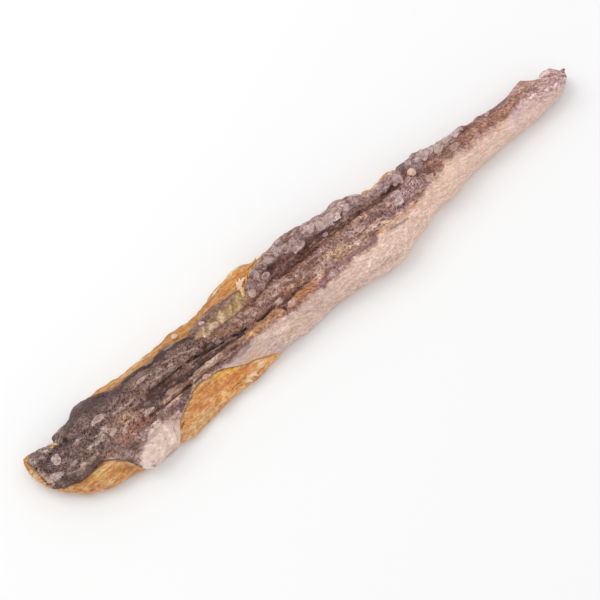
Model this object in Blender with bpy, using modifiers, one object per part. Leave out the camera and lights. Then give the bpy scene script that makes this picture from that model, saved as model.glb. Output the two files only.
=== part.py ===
"""A haddock fillet dried with its skin on, 300 mm long, lying skin side up.

X runs from the head end (-) to the tail (+). +Y is the edge of the back and -Y the edge of the belly.
The fillet rests on Z = 0. It has two layers: the dried flesh, and the skin that shrank and pleated on it.
Sizes below are in millimetres, and metres() turns them into Blender's units.
"""

import math

import bmesh
import bpy
import numpy as np
from mathutils import Vector, noise

# Driving dimensions
LENGTH = 300.0
GAP = 0.6  # between the skin and the flesh, so that the two solids stay apart
HIDE = 0.9  # thickness of the skin where it lies flat
PILE = 3.0  # what its pleats add midway between its hems
THINNEST_SKIN = 0.55  # at the bottom of a crease
THICKEST_SKIN = 7.0  # a limit that no pleat reaches
SKIN_INSET = 1.4  # how far the skin stops short of the head end
FLESH_INSET = 1.2  # how far the flesh stops short of the tail end
END_ROUNDING = 6.0  # length over which the flesh closes at each end
SKIN_CLOSING = 0.75  # how far open the skin's ends stay, as a share of the section's height

# Mesh density before the meshes are thinned, and the share of the triangles that stays
FLESH_RINGS, FLESH_SIDES, FLESH_KEPT = 300, 96, 0.09
SKIN_COLUMNS, SKIN_ROWS, SKIN_KEPT = 340, 108, 0.058

# Plan outline of the flesh: (x, y) along the edge of the back and along the edge of the belly
BACK_EDGE = [
    (-150, 9.5), (-148, 14.3), (-145, 14.6), (-142, 12.6), (-137, 10.3), (-134.5, 13.4), (-127, 13.2),
    (-120, 18.2), (-108, 18.6), (-95, 17.4), (-78, 18), (-70, 18.4), (-60, 17.8), (-45, 20.8),
    (-37, 22.9), (-30, 23.9), (-24, 21.8), (-14, 15.2), (-5, 16.2), (10, 13.5), (25, 13.8),
    (31, 10.6), (36, 12), (50, 14), (55, 12.2), (60, 8.4), (66, 10.6), (71, 9.2), (78, 6.4),
    (90, 6.8), (112, 3.7), (122, 4), (129, 5), (137, 0.8), (143, 2), (147, 0.8), (150, -2.4),
]
BELLY_EDGE = [
    (-150, 5.5), (-148.5, 0.4), (-146, -4.7), (-142, -8.8), (-138, -13.7), (-134, -15.8),
    (-129, -18.2), (-123, -18.7), (-112, -20.7), (-100, -21), (-92, -22.4), (-75, -21.2),
    (-67, -20.1), (-58, -20.9), (-46, -19.8), (-35, -17.3), (-29, -18.4), (-8, -17.2), (8, -18.1),
    (20, -20.4), (28, -19.8), (36, -17), (46, -15), (53, -13), (66, -12.3), (82, -9.7), (118, -9.2),
    (130, -8.7), (140, -7.9), (146, -4.7), (150, -3),
]

# Heights along the fillet: (x, z) of the crown of the flesh, of its widest line and of its underside.
# Where the underside is below 0, it dried flat on the table
CROWN = [(-150, 7.5), (-138, 8.8), (-118, 9.6), (-90, 10.1), (-30, 10.4), (25, 10.3), (60, 9.7), (100, 8.4),
         (150, 7.6)]
WAIST = [(-150, 5), (-130, 3.6), (-90, 3), (-30, 3.2), (20, 3.6), (60, 4.2), (100, 4.4), (150, 4.8)]
SOLE = [(-150, 3), (-140, 0.8), (-126, -0.5), (-90, -0.7), (80, -0.7), (108, -0.3), (126, 0.5), (150, 1.8)]

# How full each shoulder is, as the power of a superellipse: 2 is round, less slopes, more is boxy
BACK_FULLNESS = [(-150, 2.2), (-110, 2.2), (-70, 1.9), (-45, 1.55), (-25, 1.7), (-5, 2.3), (150, 2.1)]
BELLY_FULLNESS = [(-150, 2), (-112, 2.3), (-95, 1.7), (-75, 1.45), (-50, 1.6), (-20, 2.2), (150, 2.2)]
SOLE_FULLNESS = 4.5
PRESSED_FLAT = 0.3  # what is lower than this lies flat on the table

# Where the skin ends on each side, as a share of the half width. Over 1 it wraps down round the side
BACK_HEM = [
    (-149, 0.9), (-146, 0.84), (-142, 0.98), (-137, 1.02), (-134.5, 0.82), (-132, 1.04), (-126, 1),
    (-122, 0.9), (-110, 0.87), (-103, 0.76), (-90, 0.79), (-76, 0.71), (-66, 0.62), (-58, 0.75),
    (-48, 0.69), (-40, 0.58), (-34, 0.5), (-28, 0.66), (-22, 0.88), (-14, 1.08), (28, 1.08),
    (34, 0.76), (41, 0.68), (51, 0.74), (57, 1.1), (90, 1.18), (150, 1.2),
]
BELLY_HEM = [
    (-149, 0.1), (-147, 0.3), (-145, 0.86), (-140, 0.64), (-131, 0.5), (-126, 0.36), (-121, 0.55),
    (-118, 0.72), (-113.5, 1.02), (-101, 1.08), (-97.5, 0.98), (-93, 0.64), (-88, 0.56), (-82, 0.42),
    (-75, 0.32), (-69, 0.38), (-60, 0.54), (-52, 0.72), (-44, 0.92), (-36, 1.06), (-28, 0.96),
    (-12, 0.97), (-4, 1.1), (20, 1.15), (60, 1.18), (150, 1.2),
]

# Creases between the pleats: the line each one follows, its depth and its half width
CREASES = [
    ([(-66, 2.2), (-50, 2.4), (-38, 1.9), (-30, 3), (-12, 4.6), (10, 4.4), (30, 3.3), (54, 2.1)], 3.2, 1.4),
    ([(-104, -3), (-86, -1.1), (-72, -0.6), (-60, -1.9), (-48, -5), (-26, -6.6), (-6, -6.6)], 3.2, 1.3),
    ([(-102, -6.8), (-86, -4.8), (-74, -5.8), (-58, -5.6), (-42, -7.4)], 2, 1.1),
    ([(-112, -10), (-98, -7.4), (-86, -7.8), (-72, -8.8)], 2, 1.1),
    ([(-70, -8.6), (-50, -10.8), (-30, -12.6), (-8, -14.4), (10, -13.6), (46, -12.6), (62, -9)], 0.8, 1.6),
    ([(-118, 10.2), (-98, 7.6), (-68, 8.4)], 1.2, 1.4),
    ([(56, 3.2), (74, 3), (98, 2.2)], 1.2, 1.4),
    ([(6, -1.5), (26, -4.5), (50, -7)], 1, 1.3),
]
CREASE_FADE = 9.0  # length over which a crease starts and ends
CREASE_ROUNDING = 0.4  # how blunt the bottom of a crease is

# The skin folded over into a roll along the back: its inner edge, its two ends and its height
ROLL_EDGE = [(-37, 6.2), (-26, 6.8), (-12, 8.8), (8, 7.8), (26, 5), (42, 2.9), (53, 2.3)]
ROLL_FROM, ROLL_TO, ROLL_RISE = -36.0, 54.0, 2.1

# Swellings (+) and hollows (-): (x, y, half length, half width, height)
SWELLINGS = [
    (-140, 4.5, 5.5, 4.5, -1.9),  # the dished head end
    (-132.5, 7, 1.6, 4.5, -1.5),  # the fold between the curled tip and the body
    (-106, -12, 9, 7, 0.9),  # the pale patch over the belly
    (-52, 7.5, 13, 3.6, -1.3),  # the bare membrane before the roll
    (-12, 5.6, 15, 2.6, -1.0),  # the channel beside the roll
    (16, -13, 15, 5, 0.8),  # the belly's fullest part
    (-26, 12, 4, 3.5, 0.6),
    (-8, 14, 6, 3, 0.7),
    (15, 11.5, 5, 3, 0.7),
    (67, 8, 6, 3, 0.7),
    (129, 4, 6, 2.5, 0.6),
]
LOOSE_SCALES = [(-139, 1.9, 2.4), (-117, 4, 2.8), (-94, 6, 2.6), (55, 3, 2)]  # (x, y, radius)
SCALE_RISE = 0.5
# Uneven lumps: (height, size along each axis, seed)
SKIN_LUMPS = [(0.6, (15, 5, 8), 0), (0.35, (6, 3, 4), 3.1)]
FLESH_LUMPS = [(0.9, (13, 7, 5), 1.7), (0.45, (6, 4, 2.5), 8.3)]
FLESH_FIBRES = (0.2, (30, 5, 2.6), 4.4)  # long, with sharp backs
FLAKE_HEIGHT, FLAKE_LENGTH = 0.15, 6.0  # the muscle's slanting flakes

CROWN_SHARE, CROWN_TURN = 0.3, 0.4  # part of the skin's rows that run straight, and how far they reach

SKIN_COLOUR = (0.155, 0.105, 0.095, 1)
FLESH_COLOUR = (0.62, 0.30, 0.07, 1)


def metres(points):
    return np.asarray(points, float) * 0.001


def through(points, x):
    """A smooth curve through (x, value) points. It never overshoots them, and is flat beyond them."""
    xs, values = np.array(points, float).T
    steps = np.diff(xs)
    rises = np.diff(values) / steps
    turns = rises[:-1] * rises[1:] <= 0
    total = np.where(turns, 1.0, rises[:-1] + rises[1:])
    slopes = np.zeros(len(xs))
    slopes[1:-1] = np.where(turns, 0.0, 2 * rises[:-1] * rises[1:] / total)
    x = np.clip(x, xs[0], xs[-1])
    at = np.clip(np.searchsorted(xs, x) - 1, 0, len(xs) - 2)
    t = (x - xs[at]) / steps[at]
    return (
        values[at] * (1 + 2 * t) * (1 - t) ** 2
        + values[at + 1] * t**2 * (3 - 2 * t)
        + slopes[at] * steps[at] * t * (1 - t) ** 2
        - slopes[at + 1] * steps[at] * t**2 * (1 - t)
    )


def smooth_step(value, start, end):
    t = np.clip((value - start) / (end - start), 0, 1)
    return t * t * (3 - 2 * t)


def lumps(x, y, z, size, seed):
    """Uneven swelling from -1 to 1, with lumps of about the given size along each axis."""
    points = np.stack([x / size[0] + seed, y / size[1] - seed, z / size[2] + 2 * seed], axis=-1)
    return np.array([noise.noise(Vector(point)) for point in points])


def half_widths(x):
    back, belly = through(BACK_EDGE, x), through(BELLY_EDGE, x)
    return (back + belly) / 2, (back - belly) / 2


def closing_at(x):
    """1 along the flesh, falling to 0 over its last few millimetres at each end."""
    head = np.clip((x + LENGTH / 2) / END_ROUNDING, 0, 1)
    tail = np.clip((LENGTH / 2 - FLESH_INSET - x) / END_ROUNDING, 0, 1)
    return np.sqrt(1 - (1 - np.minimum(head, tail)) ** 2)


def section_point(x, turn, least_closing=0.0):
    """(y, z) on the flesh at a turn round its section: 0 at the back, pi/2 on top, pi at the belly."""
    middle, half = half_widths(x)
    crown, waist, sole = (through(line, x) for line in (CROWN, WAIST, SOLE))
    closing = np.maximum(closing_at(x), least_closing)
    centre = (crown + sole) / 2
    crown = centre + (crown - centre) * closing
    waist = centre + (waist - centre) * closing
    sole = centre + (sole - centre) * closing
    across, upward = np.cos(turn), np.sin(turn)
    fullness = np.where(across > 0, through(BACK_FULLNESS, x), through(BELLY_FULLNESS, x))
    fullness = np.where(upward > 0, fullness, SOLE_FULLNESS)
    power = 2 / fullness
    y = middle + half * np.sign(across) * np.abs(across) ** power
    rise = np.where(upward > 0, crown - waist, sole - waist)
    return y, waist + rise * np.abs(upward) ** power


def outward(x, turn, least_closing=0.0):
    """The direction out of the flesh, in the plane of its section."""
    small = 0.02
    y0, z0 = section_point(x, turn - small, least_closing)
    y1, z1 = section_point(x, turn + small, least_closing)
    length = np.hypot(y1 - y0, z1 - z0) + 1e-9
    return (z1 - z0) / length, (y0 - y1) / length


def hem_turn(x, hem, fullness):
    """The turn at which the skin ends, from its share of the half width."""
    share = through(hem, x)
    on_top = np.arccos(np.clip(share, 0, 1) ** (through(fullness, x) / 2))
    return np.where(share > 1, -(share - 1) * math.pi / 2, on_top)


def skin_turns(x):
    """The turns at which the skin starts at the back and ends at the belly."""
    return hem_turn(x, BACK_HEM, BACK_FULLNESS), math.pi - hem_turn(x, BELLY_HEM, BELLY_FULLNESS)


def crease_depth(x, y):
    depth = np.zeros_like(x)
    for line, deepest, half_width in CREASES:
        start, end = line[0][0], line[-1][0]
        along = smooth_step(x, start, start + CREASE_FADE) * smooth_step(x, end, end - CREASE_FADE)
        off = np.hypot(y - through(line, x), CREASE_ROUNDING) - CREASE_ROUNDING
        depth += deepest * along * np.exp(-off / half_width)
    return depth


def back_roll(x, y):
    """The fold along the back. Its torn head end curves away towards the edge of the back."""
    off = y - through(ROLL_EDGE, x)
    across = smooth_step(off, -0.6, 1.6)
    torn = ROLL_FROM + 20 * np.clip((y - 7) / 11, 0, 1) ** 2.5
    along = smooth_step(x, torn, torn + 3) * smooth_step(x, ROLL_TO, ROLL_TO - 5)
    return ROLL_RISE * across * along


def swelling(x, y):
    height = np.zeros_like(x)
    for middle_x, middle_y, half_length, half_width, most in SWELLINGS:
        height += most * np.exp(-(((x - middle_x) / half_length) ** 2) - ((y - middle_y) / half_width) ** 2)
    for scale_x, scale_y, radius in LOOSE_SCALES:
        height += SCALE_RISE * np.exp(-((np.hypot(x - scale_x, y - scale_y) / radius) ** 6))
    return height


def skin_thickness(x, y, z, share):
    """How far the skin's outside stands off its inside. share is 0 at a hem and 1 midway between the hems."""
    pile = PILE * smooth_step(share, 0, 0.6) * (1 - 0.5 * smooth_step(x, 55, 105))
    thickness = HIDE + pile + back_roll(x, y) * smooth_step(share, 0, 0.2)
    thickness += swelling(x, y) - crease_depth(x, y)
    thickness += sum(height * lumps(x, y, z, size, seed) for height, size, seed in SKIN_LUMPS)
    thickness *= 0.75 + 0.25 * smooth_step(share, 0, 0.08)  # thinner right at the hem
    return np.clip(thickness, THINNEST_SKIN, THICKEST_SKIN)


def bareness(x, turn):
    """How many radians past the skin's nearest hem a point on the flesh is. Under the skin it is below 0."""
    beside = []
    for reach in (-4.5, -3.0, -1.5, 0.0, 1.5, 3.0, 4.5):
        back_turn, belly_turn = skin_turns(x + reach)
        beside.append(np.maximum(back_turn - turn, turn - belly_turn))
    return np.min(beside, axis=0)


def flesh_relief(x, y, z, turn):
    """Lumps and flakes of the bare flesh. They fade out before they get under the skin."""
    showing = smooth_step(bareness(x, turn), 0.08, 0.4)
    rough = sum(height * lumps(x, y, z, size, seed) for height, size, seed in FLESH_LUMPS)
    height, size, seed = FLESH_FIBRES
    fibre = height * (1 - 4 * np.abs(lumps(x, y, z, size, seed)))
    slant = (x + 0.8 * np.abs(y)) / FLAKE_LENGTH + 2 * lumps(x, y, z, (26, 18, 18), 5.2)
    flake = FLAKE_HEIGHT * (1 - 2 * np.abs(np.sin(slant * math.pi)))
    return showing * (rough + fibre + flake - FLAKE_HEIGHT) * closing_at(x)


def mesh_object(name, bm, colour, roughness, parts):
    mesh = bpy.data.meshes.new(name)
    bm.to_mesh(mesh)
    bm.free()
    obj = bpy.data.objects.new(name, mesh)
    parts.objects.link(obj)
    material = bpy.data.materials.new(name)
    material.use_nodes = True
    shader = material.node_tree.nodes["Principled BSDF"]
    shader.inputs["Base Color"].default_value = colour
    shader.inputs["Roughness"].default_value = roughness
    mesh.materials.append(material)
    mesh.shade_smooth()
    return obj


def get_points(bm):
    return np.array([vert.co[:] for vert in bm.verts])


def set_points(bm, points):
    for vert, point in zip(bm.verts, metres(points)):
        vert.co = point


def thin_out(obj, kept):
    """Fewer triangles where the surface is smooth, so that the pleats and flakes keep theirs."""
    thinning = obj.modifiers.new("Thin out", "DECIMATE")
    thinning.ratio = kept


def make_flesh(parts):
    """The dried flesh: a ball with its poles at the two ends, drawn out into the fillet's sections."""
    bm = bmesh.new()
    bmesh.ops.create_uvsphere(bm, u_segments=FLESH_SIDES, v_segments=FLESH_RINGS, radius=1)
    ball = get_points(bm)
    along = np.arcsin(np.clip(ball[:, 2], -1, 1)) / math.pi + 0.5
    x = -LENGTH / 2 + (LENGTH - FLESH_INSET) * along
    turn = np.arctan2(ball[:, 1], ball[:, 0])
    turn = np.where(turn < -math.pi / 2, turn + 2 * math.pi, turn)
    turn = np.where(np.abs(ball[:, 2]) > 0.999999, math.pi / 2, turn)
    y, z = section_point(x, turn)
    out_y, out_z = outward(x, turn)
    relief = flesh_relief(x, y, z, turn)
    set_points(bm, np.stack([x, y + relief * out_y, np.maximum(z + relief * out_z, 0)], axis=1))
    flesh = mesh_object("flesh", bm, FLESH_COLOUR, 0.5, parts)
    thin_out(flesh, FLESH_KEPT)
    press_sole(flesh)
    return flesh


def press_sole(flesh):
    """Flattens the lowest part of the thinned underside, so that the fillet rests steadily on it."""
    graph = bpy.context.evaluated_depsgraph_get()
    thinned = bpy.data.meshes.new_from_object(flesh.evaluated_get(graph))
    for vert in thinned.vertices:
        if vert.co.z < metres(PRESSED_FLAT):
            vert.co.z = 0
    flesh.modifiers.clear()
    flesh.data = thinned


def sheet_turn(x, across):
    """The turn at a place across the sheet, from -1 at the belly's hem to 1 at the back's.

    The rows over the crown run straight, whatever the hems do. Only those outside it spread to the hems.
    """
    back_turn, belly_turn = skin_turns(x)
    hem = np.where(across > 0, back_turn, belly_turn) - math.pi / 2
    over_crown = np.sign(hem) * np.minimum(CROWN_TURN, 0.6 * np.abs(hem))
    over_crown = over_crown * np.minimum(np.abs(across) / CROWN_SHARE, 1)
    spread = np.clip((np.abs(across) - CROWN_SHARE) / (1 - CROWN_SHARE), 0, 1)
    return math.pi / 2 + over_crown + (hem - over_crown) * spread


def make_skin(parts):
    """The skin: a sheet draped over the flesh from hem to hem, thickened outwards into its pleats."""
    bm = bmesh.new()
    bmesh.ops.create_grid(bm, x_segments=SKIN_COLUMNS, y_segments=SKIN_ROWS, size=1)
    sheet = get_points(bm)
    x = -LENGTH / 2 + SKIN_INSET + (LENGTH - SKIN_INSET) * (sheet[:, 0] + 1) / 2
    turn = sheet_turn(x, sheet[:, 1])
    y, z = section_point(x, turn, SKIN_CLOSING)
    out_y, out_z = outward(x, turn, SKIN_CLOSING)
    from_end = np.minimum(x + LENGTH / 2 - SKIN_INSET, LENGTH / 2 - x)
    share = np.minimum(1 - np.abs(sheet[:, 1]), from_end / 12)
    thickness = skin_thickness(x, y, z, share)
    set_points(bm, np.stack([x, y + GAP * out_y, z + GAP * out_z], axis=1))
    skin = mesh_object("skin", bm, SKIN_COLOUR, 0.6, parts)
    weights = skin.vertex_groups.new(name="thickness")
    for index, value in enumerate(thickness / THICKEST_SKIN):
        weights.add([index], float(value), "REPLACE")
    pleating = skin.modifiers.new("Pleats", "SOLIDIFY")
    pleating.thickness = metres(THICKEST_SKIN)
    pleating.offset = 1
    pleating.vertex_group = weights.name
    thin_out(skin, SKIN_KEPT)
    return skin


def rest_on_origin(objects):
    """Moves the fillet so that the middle of its underside is the origin."""
    graph = bpy.context.evaluated_depsgraph_get()
    graph.update()
    corners = np.array([vert.co[:] for obj in objects for vert in obj.evaluated_get(graph).data.vertices])
    low, high = corners.min(axis=0), corners.max(axis=0)
    shift = Vector(((low[0] + high[0]) / 2, (low[1] + high[1]) / 2, low[2]))
    for obj in objects:
        for vert in obj.data.vertices:
            vert.co -= shift


def main():
    for obj in list(bpy.data.objects):
        bpy.data.objects.remove(obj)
    parts = bpy.data.collections.new("dried haddock fillet")
    bpy.context.scene.collection.children.link(parts)
    rest_on_origin([make_flesh(parts), make_skin(parts)])


main()
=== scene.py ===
import math

import bpy
import numpy as np
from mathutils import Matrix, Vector, noise
from mathutils.bvhtree import BVHTree


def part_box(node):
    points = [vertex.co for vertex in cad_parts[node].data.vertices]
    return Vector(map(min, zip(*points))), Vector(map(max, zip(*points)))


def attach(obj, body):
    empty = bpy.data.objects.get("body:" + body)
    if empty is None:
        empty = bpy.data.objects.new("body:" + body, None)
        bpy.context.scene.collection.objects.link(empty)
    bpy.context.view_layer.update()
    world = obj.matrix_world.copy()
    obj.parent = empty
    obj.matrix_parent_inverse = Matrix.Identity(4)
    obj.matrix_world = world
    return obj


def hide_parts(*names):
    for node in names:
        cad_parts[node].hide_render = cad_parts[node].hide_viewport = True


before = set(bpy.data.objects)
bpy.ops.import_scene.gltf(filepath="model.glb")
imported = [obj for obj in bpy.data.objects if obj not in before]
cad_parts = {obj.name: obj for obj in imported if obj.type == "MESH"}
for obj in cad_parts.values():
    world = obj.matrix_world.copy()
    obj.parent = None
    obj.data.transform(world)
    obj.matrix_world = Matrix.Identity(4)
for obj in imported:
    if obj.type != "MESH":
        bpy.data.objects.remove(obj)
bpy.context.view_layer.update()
mm = 0.001  # every size below is in millimetres, times this


def linearColour(hexText):  # from six hex digits, as paint charts give them, to linear light
    values = [int(hexText[place:place + 2], 16) / 255 for place in (0, 2, 4)]
    return np.array([v / 12.92 if v <= 0.04045 else ((v + 0.055) / 1.055) ** 2.4 for v in values])


def addNode(tree, kind, settings=None, links=None):
    # a name or number that is one of the node's sockets sets its value, anything else sets a property
    node = tree.nodes.new(kind)
    for key, value in (settings or {}).items():
        if isinstance(key, int) or (key in node.inputs and not hasattr(node, key)):
            node.inputs[key].default_value = value
        else:
            setattr(node, key, value)
    for key, source in (links or {}).items():
        tree.links.new(source, node.inputs[key])
    return node


def pickOnly(obj):
    bpy.ops.object.select_all(action="DESELECT")
    obj.select_set(True)
    bpy.context.view_layer.objects.active = obj


def applyAll(obj):
    pickOnly(obj)
    for modifier in list(obj.modifiers):
        bpy.ops.object.modifier_apply(modifier=modifier.name)


def joinAll(pieces, name):
    bpy.ops.object.select_all(action="DESELECT")
    for piece in pieces:
        piece.select_set(True)
    bpy.context.view_layer.objects.active = pieces[0]
    bpy.ops.object.join()
    joined = bpy.context.object
    joined.name = joined.data.name = name
    bpy.ops.object.transform_apply(location=True, rotation=True, scale=True)
    return joined


def pointsOf(mesh):
    points = np.empty(len(mesh.vertices) * 3)
    mesh.vertices.foreach_get("co", points)
    return points.reshape(-1, 3) / mm


def setPoints(mesh, points):
    mesh.vertices.foreach_set("co", (points * mm).ravel())
    mesh.update()


def normalsOf(mesh):
    normals = np.empty(len(mesh.vertices) * 3)
    mesh.vertex_normals.foreach_get("vector", normals)
    return normals.reshape(-1, 3)


def storeColour(mesh, name, colours):  # a colour per vertex, for the materials to read
    opaque = np.ones((len(colours), 4), np.float32)
    opaque[:, :colours.shape[1]] = colours
    mesh.color_attributes.new(name, "FLOAT_COLOR", "POINT").data.foreach_set("color", opaque.ravel())


def treeOf(mesh):  # for rays in millimetres
    faces = [tuple(face.vertices) for face in mesh.polygons]
    return BVHTree.FromPolygons(pointsOf(mesh).tolist(), faces)


def ease(value, start, end):
    share = np.clip((value - start) / (end - start), 0, 1)
    return share * share * (3 - 2 * share)


def grain(points, size, seed):  # smooth noise, from -1 to 1, with grains of this size along X, Y and Z
    places = points / np.array(size) + seed
    return np.array([noise.noise(place) for place in places.tolist()])


def grains(points, layers):  # several grains added up, each with how much of it, its size and its seed
    return sum(much * grain(points, size, seed) for much, size, seed in layers)


def ridged(points, size, seed):  # sharp backs at 1 between rounded hollows
    return 1 - np.abs(grain(points, size, seed)) * 2.2


def pockets(points, size, seed):  # scale pockets: distance from the middle, and from the seam to the next one
    places = (points / np.array(size) + seed).tolist()
    found = [noise.voronoi(place)[0] for place in places]
    near = np.array([distances[:2] for distances in found])
    return near[:, 0], near[:, 1] - near[:, 0]


def coverOf(path, x, y, soft, ragged):
    # how much a brush stroke covers each place. Its path is (x, y, half width), and its edge wanders by ragged
    spots = np.array(path if len(path) > 1 else path * 2, float)
    reach = np.full(len(x), 9.0)
    margin = spots[:, 2].max() * (1.6 + soft)
    near = np.flatnonzero((x > spots[:, 0].min() - margin) & (x < spots[:, 0].max() + margin)
                          & (y > spots[:, 1].min() - margin) & (y < spots[:, 1].max() + margin))
    px, py = x[near], y[near]
    best = reach[near]
    for (x0, y0, w0), (x1, y1, w1) in zip(spots[:-1], spots[1:]):
        dx, dy = x1 - x0, y1 - y0
        along = np.clip(((px - x0) * dx + (py - y0) * dy) / max(dx * dx + dy * dy, 1e-9), 0, 1)
        away = np.hypot(px - x0 - along * dx, py - y0 - along * dy)
        best = np.minimum(best, away / (w0 + (w1 - w0) * along))
    reach[near] = best + ragged[near] / (0.6 + spots[:, 2].mean())
    return ease(reach, 1 + soft, 1 - soft)


# a split narrower than thin has a crisper edge, and a stroke that is shaped holds some of the fine texture back
strokes = {"thin": 0.6, "thinSoft": 0.3, "thinRagged": 0.6, "shapedCalm": 0.45,
           "ragged": ((0.8, 1.6, 3), (0.4, 0.8, 5))}


def paint(tone, relief, calm, patches, x, y, soft, ragged, gaps):
    # calm is how far the fine texture is held back, as it is on loose scales and on stretched skin
    for tint, strength, rise, path, *more in patches.values():
        own = more[0] if more else {}
        thin = rise < 0 and path[0][2] < strokes["thin"]
        softness = own.get("soft", strokes["thinSoft"] if thin else soft)
        cover = coverOf(path, x, y, softness, ragged * (strokes["thinRagged"] if thin else 1))
        if thin:
            cover = cover * gaps  # a thin split closes here and there
        share = (cover * strength)[:, None]
        tone[:] = tone * (1 - share) + linearColour(tint) * share
        relief += cover * rise
        stillness = own.get("calm", strokes["shapedCalm"] if rise else 0)
        calm += (stillness - calm) * cover * (stillness > 0)


def masks(patches, x, y, ragged):
    total = np.zeros(len(x))
    for strength, path in patches:
        total = np.maximum(total, strength * coverOf(path, x, y, 0.5, ragged))
    return total


def blur(field, sizes):  # evens a table out over this many rows and columns
    for axis, size in enumerate(sizes):
        half = int(3 * size + 1)
        weights = np.exp(-0.5 * (np.arange(-half, half + 1) / size) ** 2)
        weights /= weights.sum()
        padded = np.pad(field, [(half, half) if a == axis else (0, 0) for a in range(2)], mode="edge")
        field = sum(w * np.take(padded, range(k, k + field.shape[axis]), axis=axis) for k, w in enumerate(weights))
    return field


def between(spots, x):
    spots = np.array(spots, float)
    return np.interp(x, spots[:, 0], spots[:, 1])


# feelers from all round a core line find where the solid model's skin and flesh lie
survey = {
    "stations": 451, "feelers": 261, "coreHeight": 4.5, "flatShare": 0.5, "topTurn": 20, "lastTurn": 140,
    "endGap": 0.25, "sideStart": 60, "feelerLength": 40, "feelerReach": 60,
    "coreInset": 7.5, "leastCore": 0.2, "firstEdges": (12.0, -5.0),
}


def surveyModel():
    trees = {name: treeOf(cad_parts[name].data) for name in ("skin", "flesh")}
    low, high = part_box("skin")
    x = np.linspace(low.x / mm + survey["endGap"], high.x / mm - survey["endGap"], survey["stations"])
    across = np.linspace(-1, 1, survey["feelers"])
    flat = survey["flatShare"]
    # the feelers over the flat top turn little, and those down the sides turn the rest
    steep = survey["topTurn"] + (survey["lastTurn"] - survey["topTurn"]) * (np.abs(across) - flat) / (1 - flat)
    turn = np.radians(np.where(np.abs(across) < flat, survey["topTurn"] * across / flat, np.sign(across) * steep))
    side = np.clip(across / flat, -1, 1)
    reach = {name: np.full((len(x), len(across)), np.nan) for name in trees}
    coreY = np.zeros((len(x), len(across)))
    edges = list(survey["firstEdges"])
    for i, station in enumerate(x):
        for k, way in enumerate((1, -1)):
            for tree in trees.values():
                begin = Vector((station, survey["sideStart"] * way, survey["coreHeight"]))
                hit = tree.ray_cast(begin, Vector((0, -way, 0)))
                if hit[0] is not None:
                    edges[k] = hit[0].y
        half = (edges[0] - edges[1]) / 2
        coreY[i] = (edges[0] + edges[1]) / 2 + max(half - survey["coreInset"], survey["leastCore"] * half) * side
        for k in range(len(across)):
            out = Vector((0, math.sin(turn[k]), math.cos(turn[k])))
            start = Vector((station, coreY[i, k], survey["coreHeight"])) + out * survey["feelerLength"]
            for name, tree in trees.items():
                hit = tree.ray_cast(start, -out, survey["feelerReach"])
                if hit[0] is not None:
                    reach[name][i, k] = survey["feelerLength"] - hit[3]
    return x, turn, coreY, reach["skin"], reach["flesh"]


def fillOutwards(table, spare):
    # a feeler that met nothing takes its neighbour's value, first from the crown outwards and then along the fillet
    filled = table.copy()
    crown = filled.shape[1] // 2
    for columns in (range(crown + 1, filled.shape[1]), range(crown - 1, -1, -1)):
        for k in columns:
            inner = k - 1 if k > crown else k + 1
            filled[:, k] = np.where(np.isnan(filled[:, k]), filled[:, inner], filled[:, k])
    for i in list(range(1, len(filled))) + list(range(len(filled) - 2, -1, -1)):
        if np.isnan(filled[i]).any():
            other = filled[i - 1 if i and not np.isnan(filled[i - 1]).any() else min(i + 1, len(filled) - 1)]
            filled[i] = np.where(np.isnan(filled[i]), other, filled[i])
    return np.where(np.isnan(filled), spare, filled)


# one thin sheet over the whole crown, rolled under along the back and the belly
skinSheet = {
    "rows": 105, "thickness": 0.6, "hemLift": 0.75, "hemTaper": 3.0, "bend": 0.9,
    "evenOut": 0.9, "evenAround": 2.5, "fleshAround": 1.2, "broadOut": 4, "broadAround": 10, "evenHem": 1.2,
    "crumple": 0.24, "finerCrumple": 0.2, "streaks": 0.4, "raggedEnd": 1.1, "headBare": 0.8,
    "net": 0.2, "pits": 0.2, "ribs": 0.25, "waves": 0.1, "lobes": 0.5, "lobeEdge": 0.1, "mesh": 0.16,
    "leastLift": 0.5, "usualLift": 1.2, "splitDepth": 0.8, "lowest": 0.15, "endLength": 5,
    "raggedStroke": 0.55, "strokeSoft": 0.35, "held": 0.85, "rollHeld": 0.65, "bellyHeld": 0.25,
    "bellyFlat": 0.6,
}
# where each of them begins and where it is full, along the fillet or across it
skinZones = {
    "rollFrom": (-38, -36), "rollTo": (86, 92), "fold": (-0.3, 0.4), "tailward": (35, 75), "tan": (-50, -25),
    "straightAcross": (3, 5), "straightFrom": (-38, -34), "straightTo": (50, 56),
    "rimFrom": (-100, -96), "rimTo": (-50, -42), "rimWidth": (0.3, 1.1), "hemFade": (-0.5, 1.2),
    "netLine": (0, 0.3), "pitHole": (0.1, 0.5), "lobeEdge": (0, 0.22), "meshEdge": (0, 0.3),
}
# the size of each texture along, across and down
skinGrain = {
    "netPocket": (2.1, 1.3, 1), "pitPocket": 1.15, "lobePocket": (3.8, 3.2, 1), "meshPocket": (1.6, 1.3, 1),
    "ribEvery": 1.7, "ribSlope": 0.35, "waveEvery": 1.2, "waveSlope": 0.32, "streak": (13, 1.5, 1), "bend": 4,
    "broad": (9, 6, 6), "medium": (4.2, 2.8, 2.8), "fine": (2.6, 1.8, 1.8), "tiny": 1.0,
}
# grains that push things about: how much, size, seed
skinStir = {
    "border": ((1.5, 4, 19),), "ribs": ((2.4, 5, 7), (1.2, 2, 9)),
    "waves": ((6, (9, 4, 4), 13), (2.4, (3, 1.6, 1), 17)),
    "strokesX": ((0.8, 3.4, 101), (0.35, 1.3, 103)),
    "strokesY": ((0.5, (3.8, 2.4, 2.4), 107), (0.22, (1.5, 1, 1), 109)),
    "tan": ((1, (3.4, 2, 2), 121), (0.8, (1.5, 1.1, 1.1), 123)), "ends": ((1, 3.0, 71), (0.6, 1.1, 73)),
}
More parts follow.
